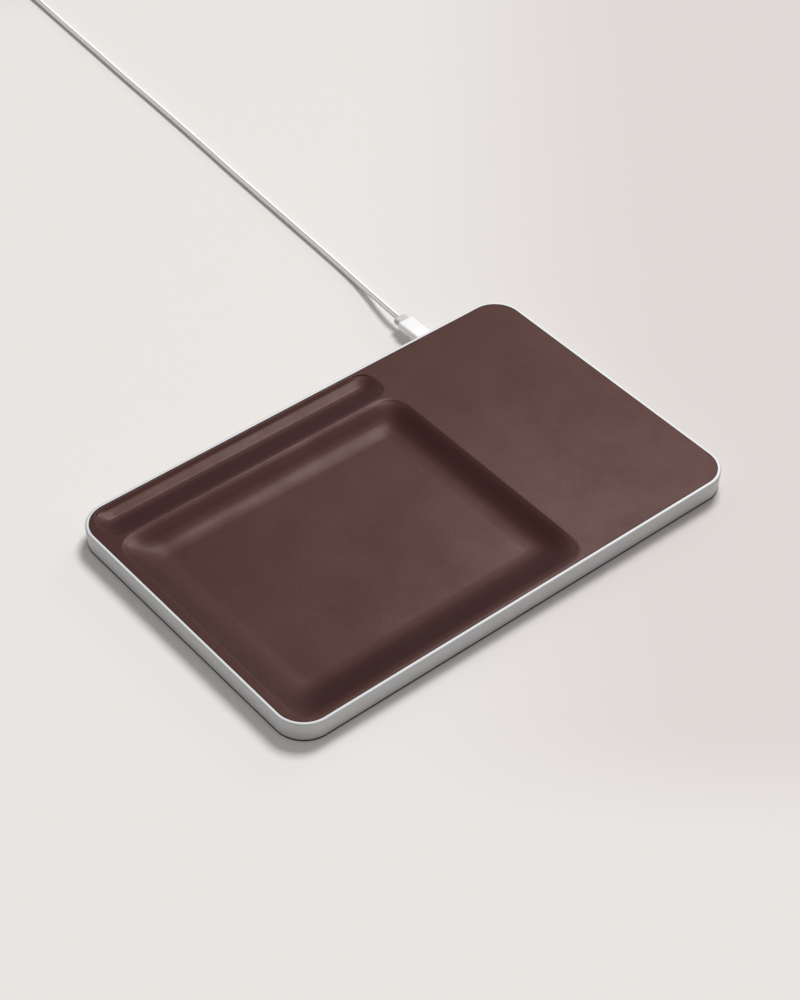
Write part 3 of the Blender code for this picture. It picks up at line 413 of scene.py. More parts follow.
finishes = {
    "satin_aluminium": metalMaterial(metalLook),
    "brown_leather": leatherMaterial(leatherLook),
    "braid_white": braidMaterial(braidLook),
} | {slot: mouldedMaterial(mouldedSet, *look) for slot, look in mouldedLooks.items()}
windings = {coil: windingMaterial(windingLook, *middle) for coil, middle in windingLook["middles"].items()}
for entry in frame["record"]["subparts"]:
    node = frame["nodes"][entry["node"]]
    finish = windings.get(entry["node"]) or finishes[entry["material_slot"]]
    for materialSlot in node.material_slots:
        materialSlot.material = finish
print("materials made:", len(finishes) + len(windings))


# Supply cord: its route as in the part, from the plug's collar to the far plug

cordSet = {
    "diameter": 3.2 * mm,
    "sides": 20,
    "sharpDegrees": 60,
    "step": 2.4 * mm,
    "windCentre": (0.13850, 0.53000),
    "windRadius": 23.5 * mm,
    "windPitch": 3.75 * mm,
    "turnsPerLayer": 3,
    "layers": 4,
    "climbTurns": 0.5,  # from one layer up to the next
    "pointsPerTurn": 48,
    "tieThickness": 0.8 * mm,
    "freeRoute": (
        (0.087, 0.11125, 0.0062), (0.0872, 0.118, 0.00618), (0.0888, 0.13, 0.0051), (0.0912, 0.145, 0.0029),
        (0.0931, 0.16, 0.00175), (0.0947, 0.18165, 0.0016), (0.0965, 0.2126, 0.0016), (0.0984, 0.2444, 0.0016),
        (0.10035, 0.2772, 0.0016), (0.10275, 0.3115, 0.0016), (0.1054, 0.355, 0.0016), (0.1072, 0.39, 0.0016),
        (0.1096, 0.4277, 0.0016), (0.1119, 0.4658, 0.0016), (0.1139, 0.4973, 0.00175), (0.1148, 0.514, 0.00245),
        (0.115, 0.523, 0.0027), (0.115, 0.5265, 0.0027),
    ),
    "tailRoute": (
        (0.115, 0.5335, 0.01395), (0.115, 0.537, 0.0139), (0.1164, 0.547, 0.012), (0.1232, 0.5558, 0.0086),
        (0.133, 0.5604, 0.0054), (0.144, 0.5604, 0.0031), (0.1542, 0.5564, 0.0026), (0.1625, 0.5488, 0.00245),
        (0.167, 0.5405, 0.00245), (0.168, 0.5335, 0.00245), (0.168, 0.53, 0.00245),
    ),
}


def smoothPoints(route, step):
    # a smooth curve through the route's points, cut into short steps
    knots = [Vector(point) for point in route]
    knots = [2 * knots[0] - knots[1], *knots, 2 * knots[-1] - knots[-2]]
    points = [knots[1]]
    for a, b, c, d in zip(knots, knots[1:], knots[2:], knots[3:]):
        count = max(1, math.ceil((c - b).length / step))
        for index in range(1, count + 1):
            t = index / count
            even = 2 * b + (c - a) * t + (2 * a - 5 * b + 4 * c - d) * t**2 + (3 * b - a - 3 * c + d) * t**3
            points.append(even / 2)
    return points


def woundPoint(s, turn):
    # in and out at a steady rate, and a layer up where the spiral turns back
    layer = min(int(turn / s["turnsPerLayer"]), s["layers"] - 1)
    within = turn - layer * s["turnsPerLayer"]
    inward = within if layer % 2 == 0 else s["turnsPerLayer"] - within
    radius = s["windRadius"] - s["windPitch"] * inward
    height = s["tieThickness"] + seatGap + s["diameter"] / 2
    for reversal in range(1, s["layers"]):
        climb = min(1, max(0, (turn - reversal * s["turnsPerLayer"]) / s["climbTurns"] + 1 / 2))
        height += s["windPitch"] * climb * climb * (3 - 2 * climb)
    angle = math.pi - 2 * math.pi * turn
    x, y = s["windCentre"]
    return Vector((x + radius * math.cos(angle), y + radius * math.sin(angle), height))


def cordPoints(s):
    turns = s["turnsPerLayer"] * s["layers"] * s["pointsPerTurn"]
    wound = [woundPoint(s, index / s["pointsPerTurn"]) for index in range(turns + 1)]
    return smoothPoints(s["freeRoute"], s["step"]) + wound + smoothPoints(s["tailRoute"], s["step"])


def tubeMesh(s, name, points):
    # the UV map runs in metres along the tube and from 0 to 1 round it, from its right side upwards
    radius, sides = s["diameter"] / 2, s["sides"]
    bm = bmesh.new()
    layer = bm.loops.layers.uv.new("tube")
    across = Vector((1, 0, 0))
    rings, lengths, length = [], [], 0.0
    for index, point in enumerate(points):
        before, after = points[max(0, index - 1)], points[min(len(points) - 1, index + 1)]
        ahead = (after - before).normalized()
        across = (across - ahead * across.dot(ahead)).normalized()
        upward = across.cross(ahead)
        if index:
            length += (point - points[index - 1]).length
        ring = []
        for side in range(sides):
            angle = 2 * math.pi * side / sides
            ring.append(bm.verts.new(point + (across * math.cos(angle) + upward * math.sin(angle)) * radius))
        rings.append(ring)
        lengths.append(length)
    for index in range(len(rings) - 1):
        for side in range(sides):
            nextSide = (side + 1) % sides
            corners = (
                (rings[index][side], lengths[index], side),
                (rings[index][nextSide], lengths[index], side + 1),
                (rings[index + 1][nextSide], lengths[index + 1], side + 1),
                (rings[index + 1][side], lengths[index + 1], side),
            )
            face = bm.faces.new([corner[0] for corner in corners])
            for loop, (_, along, step) in zip(face.loops, corners):
                loop[layer].uv = (along, step / sides)
    bm.faces.new(rings[0])
    bm.faces.new(list(reversed(rings[-1])))
    return cleanMesh(bm, name, s["sharpDegrees"]), length


cordPath = cordPoints(cordSet)
cordMesh, cordLength = tubeMesh(cordSet, "supplyCord", cordPath)
supplyCord = addPiece("supplyCord", cordMesh, "braid_white", "lead", "cord", "cord_coil", "cord_tail")
print("cord made:", round(cordLength, 3), "m,", len(cordPath), "rings")


# Plugs at both ends of the lead

plugSet = {
    "shellWidth": 8.25 * mm,
    "shellHeight": 2.4 * mm,
    "shellLength": 6.6 * mm,
    "shellWall": 0.3 * mm,
    "shellLip": 0.12 * mm,
    "lipRound": 0.3,  # of the lip, at the middle of its round
    "bodyWidth": 9.9 * mm,
    "bodyHeight": 4.9 * mm,
    "bodyLength": 17.6 * mm,
    "bodyCorner": 1.5 * mm,
    "bodyEdge": 0.5 * mm,
    "collarWidth": 7.9 * mm,
    "collarHeight": 4.0 * mm,
    "collarCorner": 1.6 * mm,
    "collarLength": 4.3 * mm,
    "collarEdge": 0.9 * mm,
    "collarTaper": 0.45,  # of the edge's run, inwards
    "cornerSteps": 14,
    "edgeSteps": 6,
    "nearFace": (0.0870, 0.08875, 0.0062),
    "farFace": (0.1680, 0.5075, 0.00245),
}


def roundedRectangle(low, high, radius, steps):
    corners = (
        (high[0] - radius, low[1] + radius, -90),
        (high[0] - radius, high[1] - radius, 0),
        (low[0] + radius, high[1] - radius, 90),
        (low[0] + radius, low[1] + radius, 180),
    )
    points = []
    for x, y, start in corners:
        for step in range(steps + 1):
            angle = math.radians(start + 90 * step / steps)
            points.append((x + radius * math.cos(angle), y + radius * math.sin(angle)))
    return points


def pillRing(halfWidth, halfHeight, y, steps):
    points = []
    for side, start in ((1, -90), (-1, 90)):
        for step in range(steps + 1):
            angle = math.radians(start + 180 * step / steps)
            x = side * (halfWidth - halfHeight) + halfHeight * math.cos(angle)
            points.append(Vector((x, y, halfHeight * math.sin(angle))))
    return points


def boxRing(halfWidth, halfHeight, radius, y, steps):
    outline = roundedRectangle((-halfWidth, -halfHeight), (halfWidth, halfHeight), radius, steps)
    return [Vector((x, y, z)) for x, z in outline]


def loftMesh(name, rings, place, closedLoop=False, sharpDegrees=38):
    bm = bmesh.new()
    rows = [[bm.verts.new(Vector(point) + Vector(place)) for point in ring] for ring in rings]
    pairs = list(zip(rows, rows[1:])) + ([(rows[-1], rows[0])] if closedLoop else [])
    for lower, upper in pairs:
        for i in range(len(lower)):
            bm.faces.new((lower[i - 1], lower[i], upper[i], upper[i - 1]))
    if not closedLoop:
        bm.faces.new(rows[0])
        bm.faces.new(rows[-1])
    return cleanMesh(bm, name, sharpDegrees)


def roundedEnd(edge, steps, atStart):
    # (inset, distance from the end) pairs of a quarter round
    angles = [math.pi / 2 * step / steps for step in range(steps + 1)]
    pairs = [(edge * (1 - math.sin(a)), edge * (1 - math.cos(a))) for a in angles]
    return pairs if atStart else [(inset, -run) for inset, run in reversed(pairs)]


def addPlug(s, prefix, face, nodePrefix):
    def addPart(part, slot, ring, size, ends):
        half = [side / 2 for side in size]
        rings = [ring(half[0] - inset, half[1] - inset, inset, y) for inset, y in ends]
        mesh = loftMesh(prefix + part, rings, face)
        addPiece(prefix + part, mesh, slot, "lead", f"{nodePrefix}plug_{part.lower()}")

    def roundedBox(corner):
        return lambda x, z, inset, y: boxRing(x, z, corner - inset, y, s["cornerSteps"])

    def farEnd(edge, at, taper=1):
        return [(inset * taper, at + run) for inset, run in roundedEnd(edge, s["edgeSteps"], False)]

    ends = roundedEnd(s["bodyEdge"], s["edgeSteps"], True) + farEnd(s["bodyEdge"], s["bodyLength"])
    addPart("Body", "plug_white", roundedBox(s["bodyCorner"]), (s["bodyWidth"], s["bodyHeight"]), ends)

    start = s["bodyLength"] + seatGap
    ends = [(0, start)] + farEnd(s["collarEdge"], start + s["collarLength"], s["collarTaper"])
    addPart("Collar", "collar_grey", roundedBox(s["collarCorner"]), (s["collarWidth"], s["collarHeight"]), ends)

    tip = -seatGap - s["shellLength"]
    wall, lip = s["shellWall"], s["shellLip"]
    ends = [
        (0, -seatGap),
        (0, tip + lip),
        (lip * s["lipRound"], tip + lip * s["lipRound"]),
        (lip, tip),
        (wall - lip, tip),
        (wall, tip + lip),
        (wall, -seatGap - wall),
    ]
    size = (s["shellWidth"], s["shellHeight"])
    addPart("Shell", "steel", lambda x, z, inset, y: pillRing(x, z, y, s["cornerSteps"]), size, ends)


addPlug(plugSet, "nearPlug", plugSet["nearFace"], "")
addPlug(plugSet, "farPlug", plugSet["farFace"], "far_")
print("plugs made")


# Straps round the wound cord

tieSet = {
    "width": 8.0 * mm,
    "thickness": 0.8 * mm,
    "corner": 2.5 * mm,
    "cornerSteps": 10,
    "edgeRound": 0.2 * mm,
    "sharpDegrees": 50,
    "turns": (90.0, 270.0),
}


def addTies(s, c):
    innerTurn = c["windRadius"] - c["windPitch"] * c["turnsPerLayer"] - c["diameter"] / 2
    near = math.sqrt(innerTurn**2 - (s["width"] / 2) ** 2) - seatGap
    far = c["windRadius"] + c["diameter"] / 2 + seatGap
    low = (near, s["thickness"])
    high = (far, s["thickness"] + seatGap + c["diameter"] + c["windPitch"] * (c["layers"] - 1) + seatGap)
    half, edge = s["width"] / 2, s["edgeRound"]
    section = (
        (0, half - edge),
        (edge, half),
        (s["thickness"] - edge, half),
        (s["thickness"], half - edge),
        (s["thickness"], edge - half),
        (s["thickness"] - edge, -half),
        (edge, -half),
        (0, edge - half),
    )
    for number, degrees in enumerate(s["turns"], 1):
        rings = []
        turn = Matrix.Rotation(math.radians(degrees), 4, "Z")
        for grow, side in section:
            outline = roundedRectangle(
                (low[0] - grow, low[1] - grow),
                (high[0] + grow, high[1] + grow),
                s["corner"] - s["thickness"] + grow,
                s["cornerSteps"],
            )
            rings.append([turn @ Vector((x, side, z)) for x, z in outline])
        mesh = loftMesh(f"cordTie{number}", rings, (*c["windCentre"], 0), True, s["sharpDegrees"])
        addPiece(f"cordTie{number}", mesh, "tie_grey", "lead", f"cord_tie_{number}")


addTies(tieSet, cordSet)
leadPieces = [f"{end}Plug{part}" for end in ("near", "far") for part in ("Body", "Collar", "Shell")]
leadPieces += ["cordTie1", "cordTie2"]


# Shape groups: outlines with round corners, and walls between two of them

def roundedOutline():
    # outlines with the same counts of points can be joined by a wall
    inputs = {"Low": "Vector", "High": "Vector", "Corner": "Float", "Corner Points": "Int", "Side Points": "Int"}
    tree, given, out = newTree("roundedOutline", "Geometry", inputs, {"Outline": "Geometry"})
    size = vectorCalc(tree, "SUBTRACT", given["High"], given["Low"])
    sides = parts(tree, size)
    box = addNode(tree, "GeometryNodeCurvePrimitiveQuadrilateral", {"Width": sides[0], "Height": sides[1]})
    feeds = {"Curve": box.outputs[0], "Count": given["Corner Points"], "Radius": given["Corner"]}
    fillet = addNode(tree, "GeometryNodeFilletCurve", feeds, mode="POLY")
    total = addNode(tree, "GeometryNodeAttributeDomainSize", {0: fillet.outputs[0]}, component="CURVE")
    perCorner = calc(tree, "DIVIDE", total.outputs["Point Count"], 4.0)
    following = calc(tree, "ADD", addNode(tree, "GeometryNodeInputIndex").outputs[0], 1.0)
    onCorner = calc(tree, "MINIMUM", calc(tree, "FLOORED_MODULO", following, perCorner), 1.0)
    cuts = calc(tree, "MULTIPLY", calc(tree, "SUBTRACT", 1.0, onCorner), given["Side Points"])
    full = addNode(tree, "GeometryNodeSubdivideCurve", {"Curve": fillet.outputs[0], "Cuts": cuts})
    middle = vectorCalc(tree, "MULTIPLY_ADD", size, (0.5, 0.5, 0.0), given["Low"])
    placed = addNode(tree, "GeometryNodeSetPosition", {"Geometry": full.outputs[0], "Offset": middle})
    tree.links.new(placed.outputs[0], out["Outline"])
    return tree


def here(tree):
    return addNode(tree, "GeometryNodeInputPosition").outputs[0]


def stepShare(tree, axis="Y"):
    # on a wall's own grid: 0 at the first outline and 1 at the last, or once round it
    return calc(tree, "ADD", parts(tree, here(tree))[axis], 0.5)


def ruledWall():
    # each step of the wall has a share of the way from the outer to the inner outline, and a height
    inputs = {"Outer": "Geometry", "Inner": "Geometry", "Steps": "Int", "Inward": "Float", "Height": "Float"}
    tree, given, out = newTree("ruledWall", "Geometry", inputs, {"Wall": "Geometry", "Share": "Float"})
    size = addNode(tree, "GeometryNodeAttributeDomainSize", {0: given["Outer"]}, component="CURVE")
    count = size.outputs["Point Count"]
    feeds = {"Vertices X": calc(tree, "ADD", count, 1.0), "Vertices Y": calc(tree, "ADD", given["Steps"], 1.0)}
    grid = addNode(tree, "GeometryNodeMeshGrid", feeds)
    place = here(tree)
    around = calc(tree, "ROUND", calc(tree, "MULTIPLY", stepShare(tree, "X"), count))
    around = calc(tree, "FLOORED_MODULO", around, count)
    ends = [
        addNode(tree, "GeometryNodeSampleIndex", {0: given[key], 1: place, 2: around}, data_type="FLOAT_VECTOR")
        for key in ("Outer", "Inner")
    ]
    feeds = {"Factor": given["Inward"], "A": ends[0].outputs[0], "B": ends[1].outputs[0]}
    between = addNode(tree, "ShaderNodeMix", feeds, data_type="VECTOR", clamp_factor=False)
    flat = parts(tree, usedOutput(between))
    spot = addNode(tree, "ShaderNodeCombineXYZ", {0: flat[0], 1: flat[1], 2: given["Height"]}).outputs[0]
    kept = addNode(tree, "GeometryNodeCaptureAttribute", {0: grid.outputs[0]})
    kept.capture_items.new("FLOAT", "Share")
    tree.links.new(stepShare(tree), kept.inputs["Share"])
    moved = addNode(tree, "GeometryNodeSetPosition", {"Geometry": kept.outputs[0], "Position": spot})
    tree.links.new(moved.outputs[0], out["Wall"])
    tree.links.new(kept.outputs["Share"], out["Share"])
    return tree


def profileCurve(tree, share, points):
    node = addNode(tree, "ShaderNodeFloatCurve", {"Value": share})
    curve = node.mapping.curves[0]
    while len(curve.points) < len(points):
        curve.points.new(0.5, 0.5)
    for point, spot in zip(curve.points, points):
        point.location = spot
        point.handle_type = "AUTO_CLAMPED"
    node.mapping.update()
    return node.outputs[0]


def joined(tree, shapes):
    node = addNode(tree, "GeometryNodeJoinGeometry")
    for shape in shapes:
        tree.links.new(shape, node.inputs[0])
    return node.outputs[0]


def raised(tree, shape, rise):
    offset = addNode(tree, "ShaderNodeCombineXYZ", {2: rise}).outputs[0]
    return addNode(tree, "GeometryNodeSetPosition", {"Geometry": shape, "Offset": offset}).outputs[0]


def finishShape(tree, out, shape, material):
    # closes the shape's seams and hands on real faces with their material
    merged = addNode(tree, "GeometryNodeMergeByDistance", {"Geometry": shape, "Distance": weldGap})
    smooth = addNode(tree, "GeometryNodeSetShadeSmooth", {"Geometry": merged.outputs[0]})
    real = addNode(tree, "GeometryNodeRealizeInstances", {"Geometry": smooth.outputs[0]})
    coated = addNode(tree, "GeometryNodeSetMaterial", {"Geometry": real.outputs[0], "Material": material})
    tree.links.new(coated.outputs[0], out)


outlineGroup = roundedOutline()
wallGroup = ruledWall()


# Leather top: one moulded skin with the bowl, the trough and the flat charging pad

leatherSet = {
    "Edge Low": (-135.42 * mm, -86.57 * mm, 0),
    "Edge High": (135.42 * mm, 86.57 * mm, 0),
    "Edge Corner": 14.72 * mm,
    "Edge Roll": 0.3 * mm,
    "Edge Flat": 0.05 * mm,  # narrow flat band inside the roll, so that the pad shades as a plane
    "Edge Steps": 8,
    "Top": 11.6 * mm,
    "Thickness": 1.0 * mm,
    "Lead In": 0.15 * mm,
    "Corner Points": 24,
    "Side Points": 40,
    "Flat Share": 0.023,  # of the way in from a crest, where it stays flat
    "Crest Share": 0.12,  # of the way in, where the press has taken hold
    "Bowl Low": (-131.6 * mm, -85.7 * mm, 0),
    "Bowl High": (43.1 * mm, 63.0 * mm, 0),
    "Bowl Corner": 10.5 * mm,
    "Floor Low": (-109.5 * mm, -60.8 * mm, 0),
    "Floor High": (21.0 * mm, 42.0 * mm, 0),
    "Floor Corner": 9.0 * mm,
    "Bowl Depth": 5.8 * mm,
    "Bowl Steps": 60,
    "Trough Low": (-131.0 * mm, 63.4 * mm, 0),
    "Trough High": (43.1 * mm, 85.7 * mm, 0),
    "Trough Corner": 10.0 * mm,
    "Bed Low": (-117.5 * mm, 76.4 * mm, 0),
    "Bed High": (28.5 * mm, 77.6 * mm, 0),
    "Bed Corner": 0.55 * mm,
    "Trough Depth": 2.5 * mm,
    "Trough Steps": 44,
}
leatherProfiles = {  # share of the way in from a side, share of the depth
    "bowl": (
        (0, 0.06), (0.05, 0.07), (0.1, 0.084), (0.15, 0.145), (0.2, 0.223), (0.3, 0.388), (0.4, 0.556), (0.5, 0.703),
        (0.6, 0.822), (0.7, 0.903), (0.8, 0.952), (0.88, 0.98), (0.94, 0.994), (1, 1),
    ),
    "front": (
        (0, 0.024), (0.03, 0.028), (0.06, 0.034), (0.1, 0.046), (0.14, 0.073), (0.18, 0.123), (0.22, 0.182),
        (0.3, 0.313), (0.38, 0.446), (0.46, 0.572), (0.54, 0.687), (0.62, 0.792), (0.7, 0.881), (0.78, 0.943),
        (0.86, 0.977), (0.92, 0.992), (0.96, 0.998), (1, 1),
    ),
    "left": (
        (0, 0.08), (0.05, 0.1), (0.1, 0.13), (0.15, 0.21), (0.2, 0.3), (0.3, 0.465), (0.4, 0.61), (0.5, 0.73),
        (0.6, 0.825), (0.7, 0.9), (0.8, 0.953), (0.9, 0.987), (1, 1),
    ),
    "trough": (
        (0, 0.03), (0.05, 0.042), (0.1, 0.052), (0.2, 0.15), (0.3, 0.27), (0.5, 0.52), (0.7, 0.765), (0.8, 0.875),
        (0.9, 0.96), (0.98, 1), (1, 1),
    ),
    "back": (
        (0, 0.07), (0.05, 0.09), (0.1, 0.14), (0.15, 0.205), (0.2, 0.29), (0.27, 0.4), (0.34, 0.485), (0.42, 0.562),
        (0.5, 0.632), (0.6, 0.718), (0.7, 0.804), (0.8, 0.89), (0.87, 0.945), (0.93, 0.98), (0.97, 0.996), (1, 1),
    ),
}
leatherSides = {  # a recess's profile at each of its sides: the outline's end and its axis
    "Bowl": {("Low", 0): "left", ("High", 0): "bowl", ("Low", 1): "front", ("High", 1): "bowl"},
    "Trough": {("Low", 0): "bowl", ("High", 0): "bowl", ("Low", 1): "trough", ("High", 1): "back"},
}


def leatherSkin(s, profiles, recessSides, material):
    kinds = {tuple: "Vector", float: "Float", int: "Int"}
    sockets = {key: kinds[type(value)] for key, value in s.items()}
    tree, given, out = newTree("leatherSkin", "Geometry", sockets, {"Skin": "Geometry"})

    def outline(name, grow=None, sidePoints=0):
        low, high, corner = (given[f"{name} {word}"] for word in ("Low", "High", "Corner"))
        if grow is not None:
            both = addNode(tree, "ShaderNodeCombineXYZ", {0: grow, 1: grow}).outputs[0]
            low, high = vectorCalc(tree, "SUBTRACT", low, both), vectorCalc(tree, "ADD", high, both)
            corner = calc(tree, "ADD", corner, grow)
        feeds = {"Low": low, "High": high, "Corner": corner, "Corner Points": given["Corner Points"]}
        return useTree(tree, outlineGroup, feeds | {"Side Points": sidePoints})[0]

    def wall(outer, inner, steps, inward, height):
        feeds = {"Outer": outer, "Inner": inner, "Steps": steps, "Inward": inward, "Height": height}
        return useTree(tree, wallGroup, feeds)

    def sheet(outlines, height):
        filled = addNode(tree, "GeometryNodeFillCurve", {0: joined(tree, outlines)}, mode="NGONS")
        return raised(tree, filled.outputs[0], height)

    def pressed(skin, taken, name, floorName):
        # every side presses the leather down by its own profile, and where two meet they multiply
        spot = parts(tree, here(tree))
        feeds = {"Value": taken, "From Min": given["Flat Share"], "From Max": given["Crest Share"]}
        depth = addNode(tree, "ShaderNodeMapRange", feeds, interpolation_type="SMOOTHSTEP").outputs[0]
        for (end, axis), profile in recessSides[name].items():
            start, stop = (parts(tree, given[f"{each} {end}"])[axis] for each in (name, floorName))
            way = addNode(tree, "ShaderNodeMapRange", {"Value": spot[axis], "From Min": start, "From Max": stop})
            depth = calc(tree, "MULTIPLY", depth, profileCurve(tree, way.outputs[0], profiles[profile]))
        fall = calc(tree, "MULTIPLY", given[f"{name} Depth"], -1.0)
        return raised(tree, skin, calc(tree, "MULTIPLY", depth, fall))

    share = stepShare(tree)
    top, roll, thickness = given["Top"], given["Edge Roll"], given["Thickness"]
    edge = outline("Edge")
    inset = outline("Edge", calc(tree, "MULTIPLY", roll, -1.0))
    flat = outline("Edge", calc(tree, "MULTIPLY", calc(tree, "ADD", roll, given["Edge Flat"]), -1.0))
    upper, holes = [], []
    for name, floorName in (("Bowl", "Floor"), ("Trough", "Bed")):
        crest = outline(name, given["Lead In"], given["Side Points"])
        floor = outline(floorName, None, given["Side Points"])
        upper.append(pressed(*wall(crest, floor, given[f"{name} Steps"], share, top), name, floorName))
        upper.append(sheet([floor], calc(tree, "SUBTRACT", top, given[f"{name} Depth"])))
        holes.append(crest)
    upper.append(sheet([flat, *holes], top))
    upper.append(wall(flat, inset, 1, share, top)[0])
    upperSkin = joined(tree, upper)
    lowerSkin = raised(tree, upperSkin, calc(tree, "MULTIPLY", thickness, -1.0))
    turn = calc(tree, "MULTIPLY", share, math.pi / 2)
    drop = calc(tree, "MULTIPLY", calc(tree, "SUBTRACT", 1.0, calc(tree, "COSINE", turn)), roll)
    rolled = wall(inset, edge, given["Edge Steps"], calc(tree, "SINE", turn), calc(tree, "SUBTRACT", top, drop))[0]
    sideTop = calc(tree, "SUBTRACT", top, roll)
    fall = calc(tree, "MULTIPLY", share, calc(tree, "SUBTRACT", thickness, roll))
    side = wall(edge, edge, 1, 0.0, calc(tree, "SUBTRACT", sideTop, fall))[0]
    under = wall(edge, inset, 1, share, calc(tree, "SUBTRACT", top, thickness))[0]
    finishShape(tree, out["Skin"], joined(tree, [under, side, rolled, lowerSkin, upperSkin]), material)
    return tree


def addLeather(s, profiles, recessSides):
    tree = leatherSkin(s, profiles, recessSides, finishes["brown_leather"])
    skin = shapeMesh(tree, bpy.data.meshes.new("leatherStart"), s, "leatherSkin")
    addPiece("leatherTop", cleanCopy(skin, "leatherTop"), "brown_leather", "tray", "leather_top")


addLeather(leatherSet, leatherProfiles, leatherSides)
print("leather top made")


# Housing frame: rim, side and ledge in one section swept round, with bosses and the socket's window

frameSet = {
    "leatherHalf": (135.5 * mm, 86.65 * mm),
    "leatherCorner": 14.8 * mm,
    "top": 11.6 * mm,
    "bottom": 0.8 * mm,
    "landWidth": 0.9 * mm,
    "topRound": 0.9 * mm,
    "innerRound": 0.1 * mm,
    "draft": 0.6 * mm,
    "footRound": 0.3 * mm,
    "wallInset": 0.8 * mm,
    "ledgeDepth": 1.9 * mm,
    "ledgeTop": 9.2 * mm,
    "ledgeThickness": 1.0 * mm,
    "roundSteps": 7,
    "supportRun": 0.1 * mm,  # extra corners beside the rounds keep the flats flat
    "supportInset": 0.006 * mm,
    "cornerPoints": 32,
    "sharpDegrees": 24,
    "bossReach": (118.0 * mm, 83.65 * mm),
    "endBossReach": 132.5 * mm,
    "bossRadius": 2.6 * mm,
    "bossSides": 40,
    "bossSpan": (2.6 * mm, 6.4 * mm),
    "boreRadius": 1.0 * mm,
    "boreTop": 6.1 * mm,
    "boreSides": 24,
    "windowHalf": (4.875 * mm, 1.95 * mm),
    "windowPlace": (87.0 * mm, 6.2 * mm),
    "windowSpan": (83.75 * mm, 89.45 * mm),
    "windowSteps": 14,
}


def frameSection(s):
    # corners of the section as (outset from the leather's opening, height)
    top, land, shoulder, heel = s["top"], s["landWidth"], s["topRound"], s["footRound"]
    rim = land + shoulder
    foot = rim - s["draft"]
    ledge = s["ledgeTop"] - s["ledgeThickness"]
    steps = [math.pi / 2 * step / s["roundSteps"] for step in range(s["roundSteps"] + 1)]
    points = [(0, top - s["innerRound"]), (s["innerRound"], top), (land - s["supportRun"], top)]
    points += [(land + shoulder * math.sin(a), top - shoulder * (1 - math.cos(a))) for a in steps]
    points.append((rim - s["supportInset"], top - shoulder - s["supportRun"]))
    points.append((foot + s["supportInset"], s["bottom"] + heel + s["supportRun"]))
    points += [(foot - heel * (1 - math.cos(a)), s["bottom"] + heel * (1 - math.sin(a))) for a in steps]
    points += [(-s["wallInset"], s["bottom"]), (-s["wallInset"], ledge)]
    points += [(-s["ledgeDepth"], ledge), (-s["ledgeDepth"], s["ledgeTop"]), (0, s["ledgeTop"])]
    return points


def sweptFrame(material):
    # the start mesh gives the section, one vertex for each of its corners; the far outline lies 1 mm out,
    # so an outset in mm is a share of the way to it
    sides = {"Low": "Vector", "High": "Vector", "Corner": "Float", "Corner Points": "Int"}
    inputs = {"Section": "Geometry"} | sides
    tree, given, out = newTree("sweptFrame", "Geometry", inputs, {"Frame": "Geometry"})
    near = {key: given[key] for key in sides}
    away = near | {
        "Low": vectorCalc(tree, "SUBTRACT", given["Low"], (mm, mm, 0)),
        "High": vectorCalc(tree, "ADD", given["High"], (mm, mm, 0)),
        "Corner": calc(tree, "ADD", given["Corner"], mm),
    }
    size = addNode(tree, "GeometryNodeAttributeDomainSize", {0: given["Section"]}, component="MESH")
    count = size.outputs["Point Count"]
    step = calc(tree, "ROUND", calc(tree, "MULTIPLY", stepShare(tree), count))
    feeds = {0: given["Section"], 1: here(tree), 2: calc(tree, "FLOORED_MODULO", step, count)}
    spot = parts(tree, addNode(tree, "GeometryNodeSampleIndex", feeds, data_type="FLOAT_VECTOR").outputs[0])
    feeds = {
        "Outer": useTree(tree, outlineGroup, near)[0],
        "Inner": useTree(tree, outlineGroup, away)[0],
        "Steps": count,
        "Inward": calc(tree, "DIVIDE", spot[0], mm),
        "Height": spot[2],
    }
    finishShape(tree, out["Frame"], useTree(tree, wallGroup, feeds)[0], material)
    return tree


def postsAtPoints(material):
    # a round post, from its low to its high end, at each vertex of the start mesh
    inputs = {"Places": "Geometry", "Radius": "Float", "Low": "Float", "High": "Float", "Sides": "Int"}
    tree, given, out = newTree("postsAtPoints", "Geometry", inputs, {"Posts": "Geometry"})
    length = calc(tree, "SUBTRACT", given["High"], given["Low"])
    feeds = {"Vertices": given["Sides"], "Radius": given["Radius"], "Depth": length}
    post = addNode(tree, "GeometryNodeMeshCylinder", feeds)
    middle = calc(tree, "MULTIPLY", calc(tree, "ADD", given["High"], given["Low"]), 0.5)
    points = addNode(tree, "GeometryNodeMeshToPoints", {0: given["Places"]})
    feeds = {"Points": points.outputs[0], "Instance": raised(tree, post.outputs[0], middle)}
    finishShape(tree, out["Posts"], addNode(tree, "GeometryNodeInstanceOnPoints", feeds).outputs[0], material)
    return tree


def pointMesh(name, points):
    mesh = bpy.data.meshes.new(name)
    mesh.from_pydata(points, [], [])
    return mesh


def joinedMesh(mesh, tool, operation):
    # the mesh with the tool's shape added to it or cut from it
    base, other = addObject("booleanBase", mesh), addObject("booleanTool", tool)
    modifier = base.modifiers.new("cut", "BOOLEAN")
    modifier.operation = operation
    modifier.solver = "EXACT"
    modifier.object = other
    result = plainMesh(base, "booleanResult")
    bpy.data.objects.remove(other)
    return result


